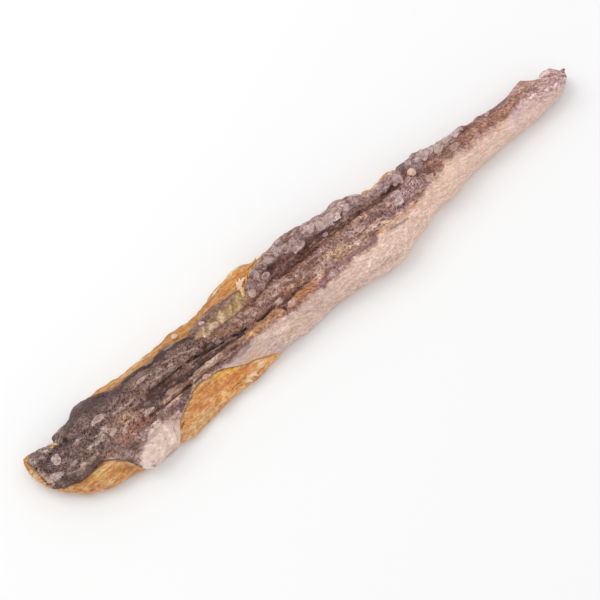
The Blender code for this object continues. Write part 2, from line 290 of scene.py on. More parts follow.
# how much lighter or darker each texture makes the skin: its own mottling, with painted highlights on raised lines,
# domes and fold backs and painted shade in pits, seams and hollows
skinShade = {
    "netLine": 0.5, "netGround": 0.14, "pits": 0.5, "ribs": 0.24, "waves": 0.1, "lobeDome": 0.5, "lobeEdge": 0.55,
    "meshGround": 0.1, "meshEdge": 0.35, "streaks": 0.7, "broad": 0.2, "medium": 0.34, "fine": 0.5, "tiny": 0.42,
    "least": -1.1, "most": 0.8, "swing": (0.77, 1.0, 1.05), "warmth": (0.1, 0.0, -0.2),
    "bellyFine": 0.66, "bellyBroad": 0.7,
    "rim": "d6b8a6", "rimCover": 0.45,
}
# where the skin's hem on the back and on the belly side isn't the solid's own: x, y along each stretch of it
backHems = [
    [(-149.5, 8.5), (-148.3, 11), (-147, 12.2), (-145.5, 12.2), (-144, 11.6), (-143.4, 13.5)],
    [(-114, 16.5), (-111, 14.6), (-107, 12.4), (-103, 11.3), (-100, 11.6), (-97, 12.3), (-95, 12.4), (-92, 12.2),
     (-89, 11.2), (-86.5, 10.5), (-84, 11.2), (-80, 12.2), (-76, 12.2), (-73, 11.2), (-71.5, 9.6), (-70, 8.7),
     (-68, 8.4), (-66, 9.8), (-63, 11), (-60, 12), (-56, 12.9), (-52, 13.2), (-45, 12.8), (-42, 12.3), (-38, 11),
     (-36, 9), (-33, 11), (-30, 12), (-28, 13), (-24, 13.5), (-20, 14), (-17, 15.5), (-14.5, 17.5)],
    [(36, 8), (42, 8), (48, 7), (54, 7)],
]
bellyHems = [
    [(-146.5, -5), (-143, -6.8), (-140, -8.6), (-137, -9.9), (-133, -10), (-130, -9.8), (-127, -9.2),
     (-125.5, -9.5), (-124, -10.8), (-122, -12.3), (-120, -14.5), (-118.5, -16), (-117.5, -17.5),
     (-116.5, -19.5), (-115.5, -21.5)],
    [(-97.5, -22), (-96.5, -20), (-95.5, -17.5), (-94, -16), (-91, -15), (-88, -13.8), (-85, -12.5),
     (-82.5, -11), (-80, -10), (-77, -9.2), (-75.5, -9.5), (-74, -10.5), (-72, -10.2), (-70, -10.2),
     (-67, -10.5), (-65, -11.7), (-62, -13.2), (-59, -14.6), (-55, -15.4), (-52, -16), (-49, -17.2),
     (-46, -18), (-42, -18.7), (-38, -19.3)],
]
# the line between the dark back and the pale belly, and the fold where the roll along the back ends
bellyLine = [
    (-72, -30), (-66.5, -24), (-66, -10.5), (-60, -11), (-50, -11), (-40, -11.5), (-33, -11.5), (-28, -13),
    (-20, -12.5), (-12, -13), (-5, -13.5), (0, -13), (5, -12.3), (10, -13), (15, -14), (18, -14), (20, -11.5),
    (25, -11), (30, -10.5), (36, -10.5), (45, -10), (50, -9), (55, -8), (60, -7.5), (68, -4.5), (75, -4.5),
    (85, -4.8), (92, -5), (110, -5), (118, -4), (130, -8), (140, -9), (146, -9.5),
]
foldLine = [(-38, 6), (-36.5, 3.2), (-30, 4.3), (-26, 5), (-18, 5), (-4, 5.2), (12, 5), (20, 4.6), (28, 3.7),
            (36, 3.2), (44, 2.7), (49.5, 1.8), (50, 3.8), (56, 4.2), (62, 3.6), (70, 2.6), (76, 2.6), (84, 3),
            (88, 3.5), (92, 9)]
# tints along the fillet: the roll, the dark back and the belly
rollCoat = [(-38, "957771"), (-20, "a27e75"), (20, "a58178"), (46, "ab867e"), (52, "7a625f"), (58, "957b76"),
            (66, "a0847e"), (86, "a58780"), (92, "7b5a53")]
darkCoat = [(-150, "694e48"), (-120, "654b44"), (-95, "6d5048"), (-60, "7c5a50"), (-35, "966b5d"),
            (10, "9a7468"), (50, "98716a"), (80, "9e7262"), (110, "9a6e5f"), (128, "b58e86"), (138, "bb9793"),
            (148, "bb9793")]
bellyCoat = [(-70, "d1b2a7"), (-40, "d8bbaf"), (0, "e1c1b1"), (50, "e9c7b4"), (100, "e4c1b0"), (148, "dec1b7")]
# strokes, laid one over the other: tint, how much it covers, how far it stands up (below 0 it is cut in), and x, y,
# half width along it. calm holds the fine texture back, and soft widens the edge
skinPatches = {
    # a dark band along the groove behind the head: partly the skin's own slate tone, partly painted shade in the groove
    "slate groove in shade": ("4a3838", 0.8, -0.3, [
        (-146, 1.5, 1.2), (-144, 4, 1), (-141, 5.2, 0.9), (-137, 5.5, 0.9), (-133.5, 5.3, 0.9)], {"calm": 0.2}),
    "slate dip": ("5b443f", 0.7, 0, [(-145, 0, 1), (-142, -2, 0.8), (-139, -4.5, 0.8)]),
    "head upper grey": ("9d837a", 0.8, 0, [(-147, 9, 1.8), (-142, 8.5, 1.8), (-138, 8.3, 1.2)]),
    "tip grey": ("91766c", 0.8, 0, [(-147.3, 5, 0.7), (-147, 8, 1)]),
    "film at the tip": ("c2a08b", 0.75, 0, [
        (-148.1, 3.5, 0.5), (-147.9, 1.5, 0.8), (-147.1, -0.5, 0.8), (-146.2, -2.8, 0.7)], {"calm": 0.6, "soft": 0.7}),
    "head middle": ("755953", 0.8, 0, [(-139, -3, 2.2), (-133, -2, 2.2), (-128, -1, 2)]),
    "head lobes": ("91746b", 0.8, 0, [(-140, -6.3, 1.5), (-134, -7.5, 1.8), (-128, -6.5, 1.8)]),
    "lobe a": ("ab928b", 0.8, 0.25, [(-136.5, -4.5, 1.1), (-135, -4.6, 0.9)]),
    "lobe b": ("b4978b", 0.8, 0.3, [(-134, -7.5, 1.2)]),
    "lobe c": ("a88d82", 0.8, 0.25, [(-130, -7.3, 1)]),
    "pale flake": ("b79f97", 0.9, 0.25, [(-145.5, -1.8, 0.9), (-143.5, -3.5, 1.2), (-141.8, -4.3, 0.8)]),
    # the near-black tint in the crevice is painted shade
    "crevice": ("2b1d1d", 1, -0.7, [(-132.3, 8.3, 0.62), (-132.2, 6, 0.88), (-132.4, 4, 0.62)]),
    "crevice shred": ("7f6a5f", 0.8, 0.3, [(-134.3, 7, 0.5), (-133, 8, 0.6)]),
    "round the crevice": ("64514d", 0.8, 0, [(-134, 3, 1.5)]),
    "hump": ("957c78", 0.8, 0, [(-131, 12.5, 1.2), (-127, 12.5, 1.5)]),
    "slate shoulder": ("473230", 0.85, 0, [
        (-127, 11, 2.5), (-122, 12, 3.5), (-116, 12, 3.5), (-111, 10.5, 3), (-107, 8.5, 2),
        (-104, 8, 1.5)], {"calm": 0.2}),
    "brown shoulder": ("5a423f", 0.7, 0, [(-112, 9, 2), (-107, 8, 2)], {"calm": 0.4}),
    "head mottled": ("694e48", 0.8, 0, [(-130, 3, 3), (-122, 7, 3), (-112, 5, 2)]),
    "oval a": ("b0948c", 0.95, 0.25, [(-120.5, 2.8, 0.9), (-117, 3.3, 1.3), (-115.5, 3, 0.9)]),
    "oval b": ("b3978c", 0.95, 0.25, [(-117.7, -5, 0.8), (-115.7, -4.8, 0.9)]),
    "pale dab": ("a38a86", 0.9, 0.2, [(-130, 1.6, 1.1)]),
    "bright net": ("c1a6a0", 0.55, 0, [(-124, -4, 0.8), (-121, -3, 1), (-118.5, -1.5, 0.8)]),
    "bright net b": ("b59a8f", 0.5, 0, [(-128, -4, 0.9), (-126, -3.5, 0.9)]),
    "brown net": ("8c6756", 0.8, 0, [(-116, -3, 2.5), (-110, -3, 2.5), (-104, -4, 2.5)]),
    "tan spot": ("886657", 0.8, 0, [(-109, 1.5, 1), (-107, 1, 1)]),
    "maroon a": ("825443", 0.75, 0, [(-118, -8, 1.5), (-112, -9, 2), (-106, -8.5, 2), (-102, -9, 1)]),
    "maroon b": ("8a5b4e", 0.6, 0, [(-116, -11, 1.5), (-112, -12.5, 1.5), (-108, -11, 2), (-104, -10.5, 1.5)]),
    "orange mottles": ("9c7666", 0.8, 0, [(-114, -7, 1), (-110, -6, 1), (-106, -6.5, 1)]),
    "mauve spot": ("b69792", 0.8, 0.15, [(-113.5, -6.8, 0.9)]),
    "mauve b": ("9d7c78", 0.8, 0, [(-109, -13, 1.5), (-105, -13.5, 1.2), (-101, -12.5, 1)]),
    "slate hem": ("927a78", 0.8, 0, [(-126, -9.8, 0.6), (-122, -12, 0.8), (-119.5, -14.5, 0.8)]),
    # a lighter umber along the head's belly hem: partly its own tone, partly painted light to lift the shade where the
    # hem turns down
    "umber hem": ("9a7364", 0.7, 0, [
        (-127.5, -7.8, 0.5), (-124.5, -8.8, 0.8), (-122, -10.2, 0.9), (-120, -11.8, 0.9),
        (-117.6, -13.4, 0.8)], {"soft": 0.7}),
    "pink hem": ("af8e85", 0.8, 0, [(-118, -14, 1), (-117, -16, 1.2), (-115.5, -19, 1.3)]),
    "slate margin": ("3b2725", 0.95, 0, [
        (-99, 10.3, 1.3), (-96, 10.8, 1.5), (-91, 9.8, 1.3), (-88, 8.6, 1), (-84, 8.3, 1.5), (-80, 9.2, 1.9),
        (-76, 9, 2), (-72, 8.2, 1.4), (-69.5, 6.4, 1.1), (-67, 4.8, 0.9)], {"calm": 0.4}),
    "margin lumps": ("9f847b", 0.7, 0.3, [(-78.5, 9.5, 0.7), (-76, 9.5, 0.6), (-74, 9.8, 0.6)]),
    "oval d": ("bba099", 0.9, 0.25, [(-96.5, 4.8, 0.7), (-93, 4.6, 0.7)]),
    "dot e": ("c2a4a0", 0.8, 0.2, [(-86, 3.3, 0.6)]),
    "body coat": ("73554c", 0.8, 0, [(-100, 4, 3.5), (-85, 3.5, 3), (-70, 3, 3)]),
    "light streaks": ("907066", 0.8, 0, [(-82, 2.5, 1), (-76, 1.2, 1), (-70, 0.8, 0.8)]),
    # the dark tints of the crease lines and the gash below are painted shade in the creases and the split that they cut
    "line one": ("3b2420", 0.95, -0.3, [
        (-98, -1.3, 0.44), (-94, -0.8, 0.44), (-88, -0.8, 0.38), (-84, -0.6, 0.38), (-79, -0.7, 0.38)]),
    "purple black": ("4d302c", 0.8, 0, [
        (-98, -3, 1), (-93, -2.8, 1.8), (-88, -3, 1.6), (-85, -2.5, 1.2)], {"calm": 0.1}),
    "orange net": ("976f58", 0.5, 0, [(-99, -0.5, 0.8), (-97, 0, 0.5)]),
    "dark between": ("573a35", 0.7, 0, [(-84, -4, 1), (-80, -5.5, 0.8)]),
    "brown mid": ("7d5d53", 0.8, 0, [(-84, -2.5, 1.2), (-79, -3, 1.5), (-75, -3, 1.2)]),
    "purple mid": ("573c39", 0.75, 0, [(-74, -3.6, 1.2), (-68, -4.2, 1.2), (-63, -4.6, 0.9)]),
    # near-black in the gash: painted shade in the split
    "gash": ("1f100d", 1, -0.6, [
        (-76, -0.7, 0.4), (-73, -1.1, 0.8), (-70, -1.6, 1), (-66, -2.2, 0.9), (-63, -3, 0.75), (-60, -3.7, 0.55),
        (-56, -3.9, 0.4), (-53, -4.4, 0.5), (-50, -4.8, 0.5), (-48, -5.3, 0.3)]),
    "lavender lumps": ("977b74", 0.7, 0.2, [(-62, -1.5, 1), (-60, -2.3, 0.8)]),
    "lavender lumps b": ("846864", 0.6, 0.2, [(-57.5, -4.3, 0.9), (-55, -4.5, 0.8)]),
    # painted shade in this crease
    "line two": ("3a231e", 0.95, -0.3, [
        (-97, -5.2, 0.38), (-90, -5, 0.44), (-85, -5.2, 0.44), (-82, -6.1, 0.62), (-78, -6.2, 0.5), (-70, -6, 0.5),
        (-60, -6, 0.5), (-50, -6, 0.5)]),
    "flake e": ("a27e71", 0.8, 0.2, [(-90, -6.8, 1.2), (-86, -6.5, 1.4), (-83.5, -7, 0.8)]),
    # painted shade in this crease
    "line three": ("38221d", 0.95, -0.3, [
        (-101, -8.5, 0.62), (-97, -8.7, 0.62), (-93.5, -9.6, 0.62), (-90, -9.2, 0.5), (-86, -8.9, 0.44),
        (-81, -8.6, 0.44)]),
    "lump f": ("c1a397", 0.8, 0.25, [(-102, -7.3, 0.8), (-99, -7.2, 0.5)]),
    "tan ridge": ("a87e67", 0.6, 0, [
        (-94, -7.8, 0.6), (-88, -8.2, 0.5), (-82, -7.6, 0.6), (-76, -7.3, 0.8), (-70, -7.2, 0.9), (-62, -7.3, 1),
        (-55, -7.5, 1.2), (-50, -8, 1.4)]),
    "low orange": ("a37a67", 0.8, 0, [(-97, -10.5, 1), (-92, -10.5, 0.8), (-88, -10.3, 0.6)]),
    "low mauve": ("8a655d", 0.6, 0, [(-99, -13.5, 1.2), (-95, -13, 1.5), (-90, -12.5, 1.2), (-86, -12, 0.8)]),
    "hem flake": ("d2ab98", 0.9, 0.25, [(-74.5, -9.6, 0.6), (-73, -10, 0.7)]),
    "hem flake b": ("cfa68e", 0.8, 0.2, [(-80.5, -9.8, 0.6)]),
    "mauve band": ("87625b", 0.6, 0, [(-68, -9, 0.5), (-64, -9.3, 1), (-58, -9.8, 1.2), (-52, -10, 1)]),
    "lavender": ("cdb0a2", 0.8, 0, [
        (-64, -12, 0.8), (-58, -13.5, 1.8), (-52, -13.5, 2.5), (-46, -14, 2.5)], {"calm": 0.5}),
    "pale patch": ("e9cebf", 0.95, 0, [
        (-114.6, -22, 2), (-113.5, -20, 2), (-110, -20, 3.5), (-105, -19, 4.5), (-100, -19, 4.5), (-96, -20, 3),
        (-94, -17.5, 1.5)], {"calm": 0.8}),
    "patch stains": ("9e7e7d", 0.55, 0, [(-110, -15.5, 1), (-106, -16.5, 0.8), (-103, -15.5, 0.6)]),
    "beside the patch": ("c19e8d", 0.8, 0, [(-98, -15, 1), (-94, -14.8, 0.8), (-91, -14.6, 0.6)]),
    "olive": ("aa8564", 0.8, 0, [
        (-66, 4.5, 1), (-62, 5, 2.2), (-56, 5, 2.6), (-50, 5.8, 3.3), (-44, 6, 3.5), (-40, 5.8, 3)], {"calm": 0.65}),
    "belly tan": ("c4926f", 0.55, 0, [(19, -10.6, 0.9), (30, -11, 1.1), (42, -11, 0.9), (50, -10.6, 0.6)]),
    "belly streak": ("946b66", 0.65, 0, [(25, -12, 0.4), (31, -13, 0.6), (37, -12.9, 0.4)], {"soft": 0.5}),
    "olive deep": ("a8854f", 0.6, 0, [(-50, 6.5, 1.8), (-45, 6.2, 2.2), (-40, 6.3, 1.8)]),
    "olive foot": ("bd9a68", 0.6, 0, [(-64, 3.4, 0.8), (-55, 3.6, 1), (-47, 3.6, 1)]),
    "olive low": ("c09d79", 0.8, 0, [(-60, 3.6, 0.8), (-50, 3.6, 0.8), (-42, 3.6, 0.8)]),
    "olive high": ("9b7962", 0.8, 0, [(-60, 7, 1), (-50, 8.3, 1), (-42, 8.5, 1)]),
    "white block": ("d3b9a4", 0.9, 0.2, [(-58.5, 4.6, 1), (-56.5, 4.2, 1)]),
    "pale ribs": ("b49175", 0.8, 0, [(-63, 3, 0.7), (-60, 3.3, 0.6)]),
    "pale ribs b": ("c6a484", 0.8, 0, [(-51, 5.5, 0.6), (-52, 4, 0.6)]),
    "grey margin": ("6e4f45", 0.8, 0, [
        (-63.5, 8.5, 1), (-60, 9.5, 1.3), (-56, 10.3, 1.5), (-50, 11.3, 1.3), (-44, 11, 1.3), (-40, 10.3, 1)]),
    "margin blob": ("bfa39a", 0.8, 0.15, [(-60, 9, 0.9)]),
    "margin dark": ("563f38", 0.8, 0, [(-64.5, 8.8, 0.7)]),
    "rust spot": ("86583d", 0.8, 0, [(-58.5, 1.3, 0.7), (-57.5, 0.8, 0.8)]),
    "ridge block": ("987567", 0.8, 0, [(-56, 1.3, 1), (-50, 1, 1.3), (-44, 0.3, 1.5)]),
    "ridge tan": ("89614e", 0.8, 0, [(-62, 0.2, 0.5), (-59, -0.3, 0.5), (-55, -2, 0.8), (-51, -2.8, 0.8)]),
    "roll": ("a58780", 0.95, 0, [
        (-36, 6.5, 1.5), (-33, 9, 2.5), (-29, 9.5, 3), (-24, 11, 3), (-18, 12, 3.5), (-10, 12, 4), (0, 12, 4),
        (10, 11, 4), (20, 10, 4), (28, 8.5, 3), (36, 5.5, 1.8), (42, 4.2, 1.2), (48, 3.1, 0.8)]),
    "roll start": ("957771", 0.7, 0, [(-36, 7.5, 1), (-33, 9, 1.5), (-30, 11, 1.5)]),
    "roll mid": ("967971", 0.8, 0, [(-16, 13, 1.5), (-10, 14, 1.5)]),
    "roll right": ("a1817a", 0.8, 0, [(24, 9, 2), (30, 8, 2)]),
    "roll tip": ("b79d9a", 0.8, 0, [(38, 5, 1), (46, 3.5, 0.7)]),
    "roll lobes a": ("d4bcb7", 0.7, 0.25, [(-22, 11, 1.2), (-19, 10, 1)]),
    "roll lobes b": ("c4aaa7", 0.6, 0.3, [(-10, 8.8, 1), (-7, 7.8, 1.2), (-4, 7, 0.8)]),
    "roll lobes c": ("d6bebc", 0.6, 0.3, [(2, 11, 1.5)]),
    "roll lobes d": ("d4bcb7", 0.7, 0.35, [(6, 8, 1.3), (11, 9, 1.8), (15, 8, 1.6)]),
    "roll lobes e": ("d2b9b3", 0.7, 0.3, [(21, 7.5, 1.3)]),
    "ring disc": ("bca39d", 0.8, 0.35, [(-28, 7.5, 0.8), (-26, 7.5, 0.8)]),
    "pale g": ("c9ada2", 0.9, 0.35, [(-35.8, 4.5, 1.1)]),
    "pale h": ("a88f88", 0.8, 0.3, [(-33.5, 6.3, 0.8)]),
    # the channel beside the roll and the slope below its fold: the skin's own maroon brown, darkened further as painted
    # shade under the roll's overhang
    "channel": ("643933", 0.9, 0, [
        (-25, 7, 0.8), (-21, 7, 1.2), (-15, 7.5, 1.8), (-10, 6.3, 0.8), (-5, 6, 0.8), (-2, 7, 1), (2, 7, 1),
        (8, 6.3, 0.4), (15, 5.8, 0.4)], {"calm": 0.05}),
    "channel slope": ("582c24", 0.85, 0, [
        (-22, 3, 1), (-17, 3.2, 1.6), (-12, 3.2, 1.8), (-6, 3, 1.6), (0, 3.2, 1.6)], {"calm": 0.05, "soft": 0.7}),
    "slope brown": ("5f3b2c", 0.85, 0, [
        (8, 3, 1.4), (16, 3, 1.3), (24, 2.6, 1.2), (32, 1.8, 1.2), (40, 1.8, 1.1),
        (46, 1.6, 0.8)], {"calm": 0.05, "soft": 0.7}),
    # the dark fold line is painted shade where the roll overlaps the skin below
    "fold line": ("452821", 0.8, -0.18, [
        (-39.5, 0.6, 0.4), (-38, 1.8, 0.35), (-34, 2.4, 0.35), (-30, 3, 0.3), (-26, 4.4, 0.3), (-23, 4.8, 0.4),
        (-18, 4.8, 0.3), (-12, 5, 0.35), (-4, 5.2, 0.35), (4, 5.2, 0.35), (12, 5, 0.3), (20, 4.6, 0.3),
        (28, 3.5, 0.3), (36, 3, 0.35), (44, 2.6, 0.4), (49, 1.8, 0.4)]),
    "ridge a": ("967366", 0.8, 0, [(-48, -1.5, 2), (-40, -1.5, 2.5), (-30, -1, 3)]),
    "ridge b": ("8b6456", 0.8, 0, [(-20, -2, 3), (-10, -3, 3)]),
    "ridge c": ("967268", 0.8, 0, [(0, -3, 3.5), (10, -3, 3.5)]),
    "ridge d": ("936d62", 0.8, 0, [(20, -2.5, 3.5), (30, -2.5, 3)]),
    "ridge e": ("a17e7a", 0.8, 0, [(40, -3, 3.5), (52, -3, 4)]),
    "ridge dark a": ("5b3c32", 0.7, -0.2, [(-47, -1.8, 1), (-45, -2.3, 1)]),
    "ridge dark b": ("5b3833", 0.7, -0.25, [(-35, -3.8, 0.8), (-30, -4.3, 0.8), (-27, -4, 0.6)]),
    "ridge light a": ("bea094", 0.7, 0.2, [(-28, 1, 1), (-26, -0.5, 0.8)]),
    "ridge orange": ("a77a62", 0.7, 0, [(-23, -4, 0.6), (-20, -5, 0.6)]),
    "ridge orange b": ("ad887f", 0.6, 0, [(-20, -2, 0.8), (-14, -2.5, 0.8)]),
    "ridge lavender": ("a58786", 0.7, 0.15, [(-5, -1, 1), (-3, -2, 1.2)]),
    "ridge dark c": ("6b4b48", 0.7, -0.2, [(-10, -0.7, 0.62), (-6, -1.3, 0.62)]),
    "ridge brown": ("8e6858", 0.8, 0, [(3, 2, 1.3), (8, 1, 1.5), (14, 0.8, 1.3), (20, 1, 1.2), (26, 0.5, 1)]),
    "dark dot": ("3b2320", 0.9, -0.4, [(22, -0.8, 0.6)]),
    "mauve run": ("765350", 0.6, 0, [(25, -3, 1), (30, -4, 1.2), (34, -6.5, 1.3), (38, -7.5, 1.2), (42, -7, 1)]),
    "light flake i": ("d3b6b2", 0.8, 0.25, [(41, -1.2, 1.2), (42.5, -2.5, 1)]),
    "light flake j": ("cfb3b0", 0.7, 0.2, [(38, -5.5, 0.8), (41, -5.6, 0.6)]),
    "light flake k": ("d8bab4", 0.7, 0.2, [(17, -4, 0.8), (19.5, -4.3, 0.7)]),
    "tan disc": ("cda692", 0.6, 0.25, [(5, -5, 1.6)]),
    "tan streak": ("d0a691", 0.7, 0, [(8, -7.5, 0.8), (12, -7.8, 1), (15, -7.3, 0.8), (19, -6.5, 0.6)]),
    "tan streak b": ("ba9687", 0.7, 0, [(22, -7, 1), (26, -8, 1), (32, -9.3, 0.8), (37, -9.8, 0.8)]),
    "mauve stripe": ("835d5b", 0.7, -0.15, [
        (-1, -10.3, 0.8), (3, -10.5, 1.2), (8, -10.6, 1), (12, -11.5, 1), (16, -12, 1.2), (19, -11.8, 0.8)]),
    "lavender spot": ("9b797b", 0.8, 0, [(-4, -8, 1), (-1.5, -7.5, 0.8)]),
    "belly line": ("9a756c", 0.6, -0.2, [(27, -12.2, 0.5), (30, -12.8, 0.62), (34, -13.2, 0.5), (37, -12.8, 0.5)]),
    "orange one": ("bd8a62", 0.85, 0, [
        (-50, -8.5, 1.2), (-45, -8.8, 1.8), (-40, -8.5, 1.8), (-35, -8.3, 1.8), (-32, -9.5, 1.4)], {"soft": 0.9}),
    "orange two": ("c08054", 0.85, 0, [
        (-27, -9, 1), (-24, -8.7, 1.5), (-20, -8.8, 1.7), (-16, -8.7, 1.6), (-13, -8.6, 1)], {"soft": 0.8}),
    "pink disc": ("caa393", 0.8, 0.2, [(-27, -9.5, 1.4)]),
    # dark tints in the hollows and in the ends of line two: painted shade in these hollows and creases
    "hollow": ("442a22", 0.95, -0.7, [(-30.3, -8.3, 0.7), (-30.6, -9.8, 0.6), (-31.2, -11, 0.4)]),
    "hollow b": ("50332b", 0.8, -0.4, [(-29, -7.2, 0.6), (-26, -7.2, 0.6), (-23.5, -6.9, 0.5)]),
    "line two right": ("2e1b17", 1, -0.3, [(-43, -6, 0.44), (-40, -6.3, 0.62), (-37, -6.1, 0.56), (-33, -5.9, 0.38)]),
    "line two end": ("452920", 0.95, -0.3, [(-23, -6.7, 0.44), (-19, -6.4, 0.44), (-15, -6.6, 0.38)]),
    "beside orange": ("ae8c85", 0.8, 0, [(-11, -8, 1), (-10, -9, 1)]),
    "mauve foot": ("ad8884", 0.8, 0, [(-8, -11, 1.2), (-3, -12, 1), (1, -11.8, 0.8)]),
    "red mix": ("a9705f", 0.5, 0, [(-14, -10.5, 1), (-8, -9.5, 1)], {"soft": 0.8}),
    "hollow disc": ("d6bcb0", 0.95, 0.4, [(-31, -5.5, 0.7), (-29.5, -5.6, 0.7)]),
    "belly a": ("d7b29a", 0.8, 0, [(-58, -15, 1), (-50, -15.5, 1.2)]),
    "belly b": ("ddbdac", 0.8, 0, [(-45, -13, 1.5), (-35, -14, 2)]),
    "belly c": ("d9b6a1", 0.8, 0, [(-40, -17, 1.3), (-25, -17, 1.3)]),
    "belly d": ("d5b6a9", 0.8, 0, [(-20, -15, 1.5), (-10, -16, 1.5)]),
    "belly e": ("e0beb0", 0.8, 0, [(0, -15.5, 2), (10, -17, 2)]),
    "belly f": ("e6c4b6", 0.8, 0, [(20, -17, 3), (30, -17, 3)]),
    "belly g": ("eac6b3", 0.8, 0, [(40, -14, 2.5), (50, -12.5, 2)]),
    "belly h": ("e6c3b1", 0.8, 0, [(60, -11, 2), (70, -10, 2)]),
    "belly i": ("e4c0ae", 0.8, 0, [(80, -8, 2), (95, -8, 2)]),
    "belly j": ("e8c6bb", 0.8, 0, [(105, -9, 1.5), (120, -9.5, 1)]),
    "belly rim": ("d2b2a0", 0.8, 0, [(-20, -17.6, 0.4), (0, -18.9, 0.5), (10, -20, 0.5), (25, -22, 0.5)]),
    "belly rim b": ("e4c4b2", 0.8, 0, [(60, -14, 0.5), (75, -12, 0.5), (100, -10.8, 0.4), (125, -10.7, 0.4)]),
    "tail lobes": ("a98c87", 0.8, 0, [
        (55, 5, 1.5), (60, 6.5, 1.5), (64, 6, 2), (68, 5.5, 1.8), (72, 4.5, 1.8), (76, 5, 2), (82, 5.5, 2),
        (86, 5, 1.6)]),
    "tail lobe light": ("bca29c", 0.7, 0.35, [(65.5, 6.5, 1.2), (71, 4.5, 1.2), (74.5, 3.3, 1.2)]),
    "tail lobe light b": ("c7afaa", 0.7, 0.35, [(79, 5.5, 1.5), (84, 6.3, 1.3)]),
    # dark seams between the tail lobes: painted shade in the gaps between them
    "lobe seams": ("74524f", 0.7, -0.3, [
        (62, 2.5, 1), (66, 2.8, 1), (70, 1.5, 0.8), (73, 0.8, 0.8), (77, 2, 0.6), (82, 1.5, 0.8), (86, 1.2, 0.8)]),
    "dark before crumb": ("6c4d49", 0.7, 0, [(50, 2, 1), (52, 3.5, 1), (56, 4.5, 0.8)]),
    "mauve by crumb": ("79524d", 0.6, 0, [(56, -1, 1), (60, -2.5, 1.5), (56, -4.5, 1)]),
    "maroon by crumb": ("54302b", 0.8, -0.3, [(55.5, 0, 0.8), (55, -1.5, 0.6)]),
    "tail lavender": ("a58387", 0.6, 0, [(57, -2.5, 1), (55, -3.5, 0.8)]),
    "tail red": ("b27c66", 0.6, 0, [(64.5, -2, 1.2), (67.5, -2.8, 1.5)], {"soft": 0.7}),
    "tail scale": ("b38f85", 0.8, 0.3, [(78, -1.3, 1.8)]),
    "tail brown a": ("a17c71", 0.8, 0, [(70, -2, 1.5), (74, -2.5, 1.2)]),
    "tail brown b": ("a0786b", 0.8, 0, [(82, -2, 1.5), (86, -1, 1.5)]),
    "tail margin": ("7b5a53", 0.75, 0, [
        (88, 4, 1.2), (94, 3.5, 1.5), (100, 3.5, 1.4), (106, 3, 1.2), (112, 2.7, 0.8), (118, 3, 0.6)], {"soft": 0.7}),
    "pale lump": ("baa3a2", 0.8, 0.2, [(102.5, 2.6, 0.7), (104.5, 3.6, 0.7)]),
    "rusty": ("9b6c59", 0.7, 0, [
        (84, 1, 1), (90, 0, 1.5), (96, -1.5, 1.5), (102, -1.5, 1.6), (108, -1.8, 1.5), (114, -1, 1.3), (120, 0, 1.2),
        (126, 1, 1.2), (130, 0.5, 0.8)], {"soft": 0.8}),
    "rusty light": ("b98975", 0.8, 0, [(125.5, 2.5, 1)]),
    "rusty light b": ("c09d95", 0.8, 0, [(120, 3, 0.8)]),
    "lavender tail": ("cdacac", 0.8, 0, [
        (110, -6.5, 1.5), (118, -5, 2), (126, -5, 2.5), (132, -5.5, 2)], {"soft": 0.8}),
    "lavender end": ("c9a6ad", 0.8, 0, [(136.5, -7, 1.3), (139, -7.3, 1)], {"soft": 0.6}),
    "end brown": ("bb9793", 0.8, 0, [(130, -2, 1), (134, -1.5, 1.2), (137, -1, 1)], {"soft": 0.7}),
    "end red": ("9d6766", 0.7, 0, [(139, -1.5, 0.6), (142, -2.8, 0.5)]),
    "end lobe": ("dcc4b8", 0.85, 0.2, [(135, 0.5, 0.7), (138, 1.3, 0.9), (141, 1, 1)]),
    "end tan": ("dbbba0", 0.8, 0, [(144, -4.5, 0.8), (146, -4.7, 0.4)]),
    "end low": ("ddc0bb", 0.8, 0, [(143, -7, 1), (141, -9, 1)]),
    # a darker tint in the crease along the head's belly hem: painted shade in the crease
    "hem crease": ("523c39", 0.45, -0.05, [
        (-143, -5.6, 0.31), (-139, -7.4, 0.38), (-135, -8.6, 0.38), (-130, -8.9, 0.38), (-127, -8.2, 0.31)]),
    "hem fold": ("a98c80", 0.7, 0.2, [(-140, -6.2, 0.3), (-136, -7.6, 0.35), (-131, -8, 0.35), (-126.5, -7.2, 0.3)]),
    "hem fold b": ("8d716a", 0.7, 0.2, [(-123, -8.2, 0.4), (-119, -11.3, 0.4), (-116.5, -14, 0.4)]),
    # the dark tint in the short crack is painted shade in the crack
    "short crack": ("4a2f2c", 0.9, -0.2, [(-105, -12, 0.31), (-101.5, -11.5, 0.38)]),
    "dark knot": ("4b2f2a", 0.85, -0.2, [(-105.5, -3, 0.7), (-103, -3.5, 0.8), (-100.5, -5.5, 0.6)]),
    "light strand": ("b89a90", 0.6, 0.15, [(-125, -1, 0.4), (-119, -2.6, 0.4), (-112, -3.4, 0.4)]),
    "light strand b": ("b3968b", 0.6, 0.15, [(-127, -3.8, 0.5), (-121, -4.8, 0.4), (-117, -1, 0.4)]),
    "light strand c": ("ae9186", 0.6, 0.15, [(-113, 1.2, 0.4), (-108, 0.2, 0.5), (-103, 0.6, 0.4)]),
    "light strand d": ("a5887d", 0.6, 0.15, [(-96, 2.2, 0.4), (-88, 1, 0.4), (-80, 1.6, 0.4)]),
    "light strand e": ("ac8d81", 0.6, 0.15, [(-84, 4.8, 0.4), (-78, 4, 0.4), (-70, 1.4, 0.4)]),
    "sallow knot": ("8f6646", 0.5, 0, [(-98.5, -1, 0.6), (-96, -0.6, 0.4)]),
    "tan strand": ("c19c83", 0.7, 0.15, [(-96, -7.2, 0.35), (-90, -7.7, 0.3), (-84, -7.6, 0.35)]),
    "tan strand b": ("c3a08b", 0.7, 0.15, [(-80, -6.9, 0.35), (-72, -6.6, 0.4), (-64, -6.7, 0.4)]),
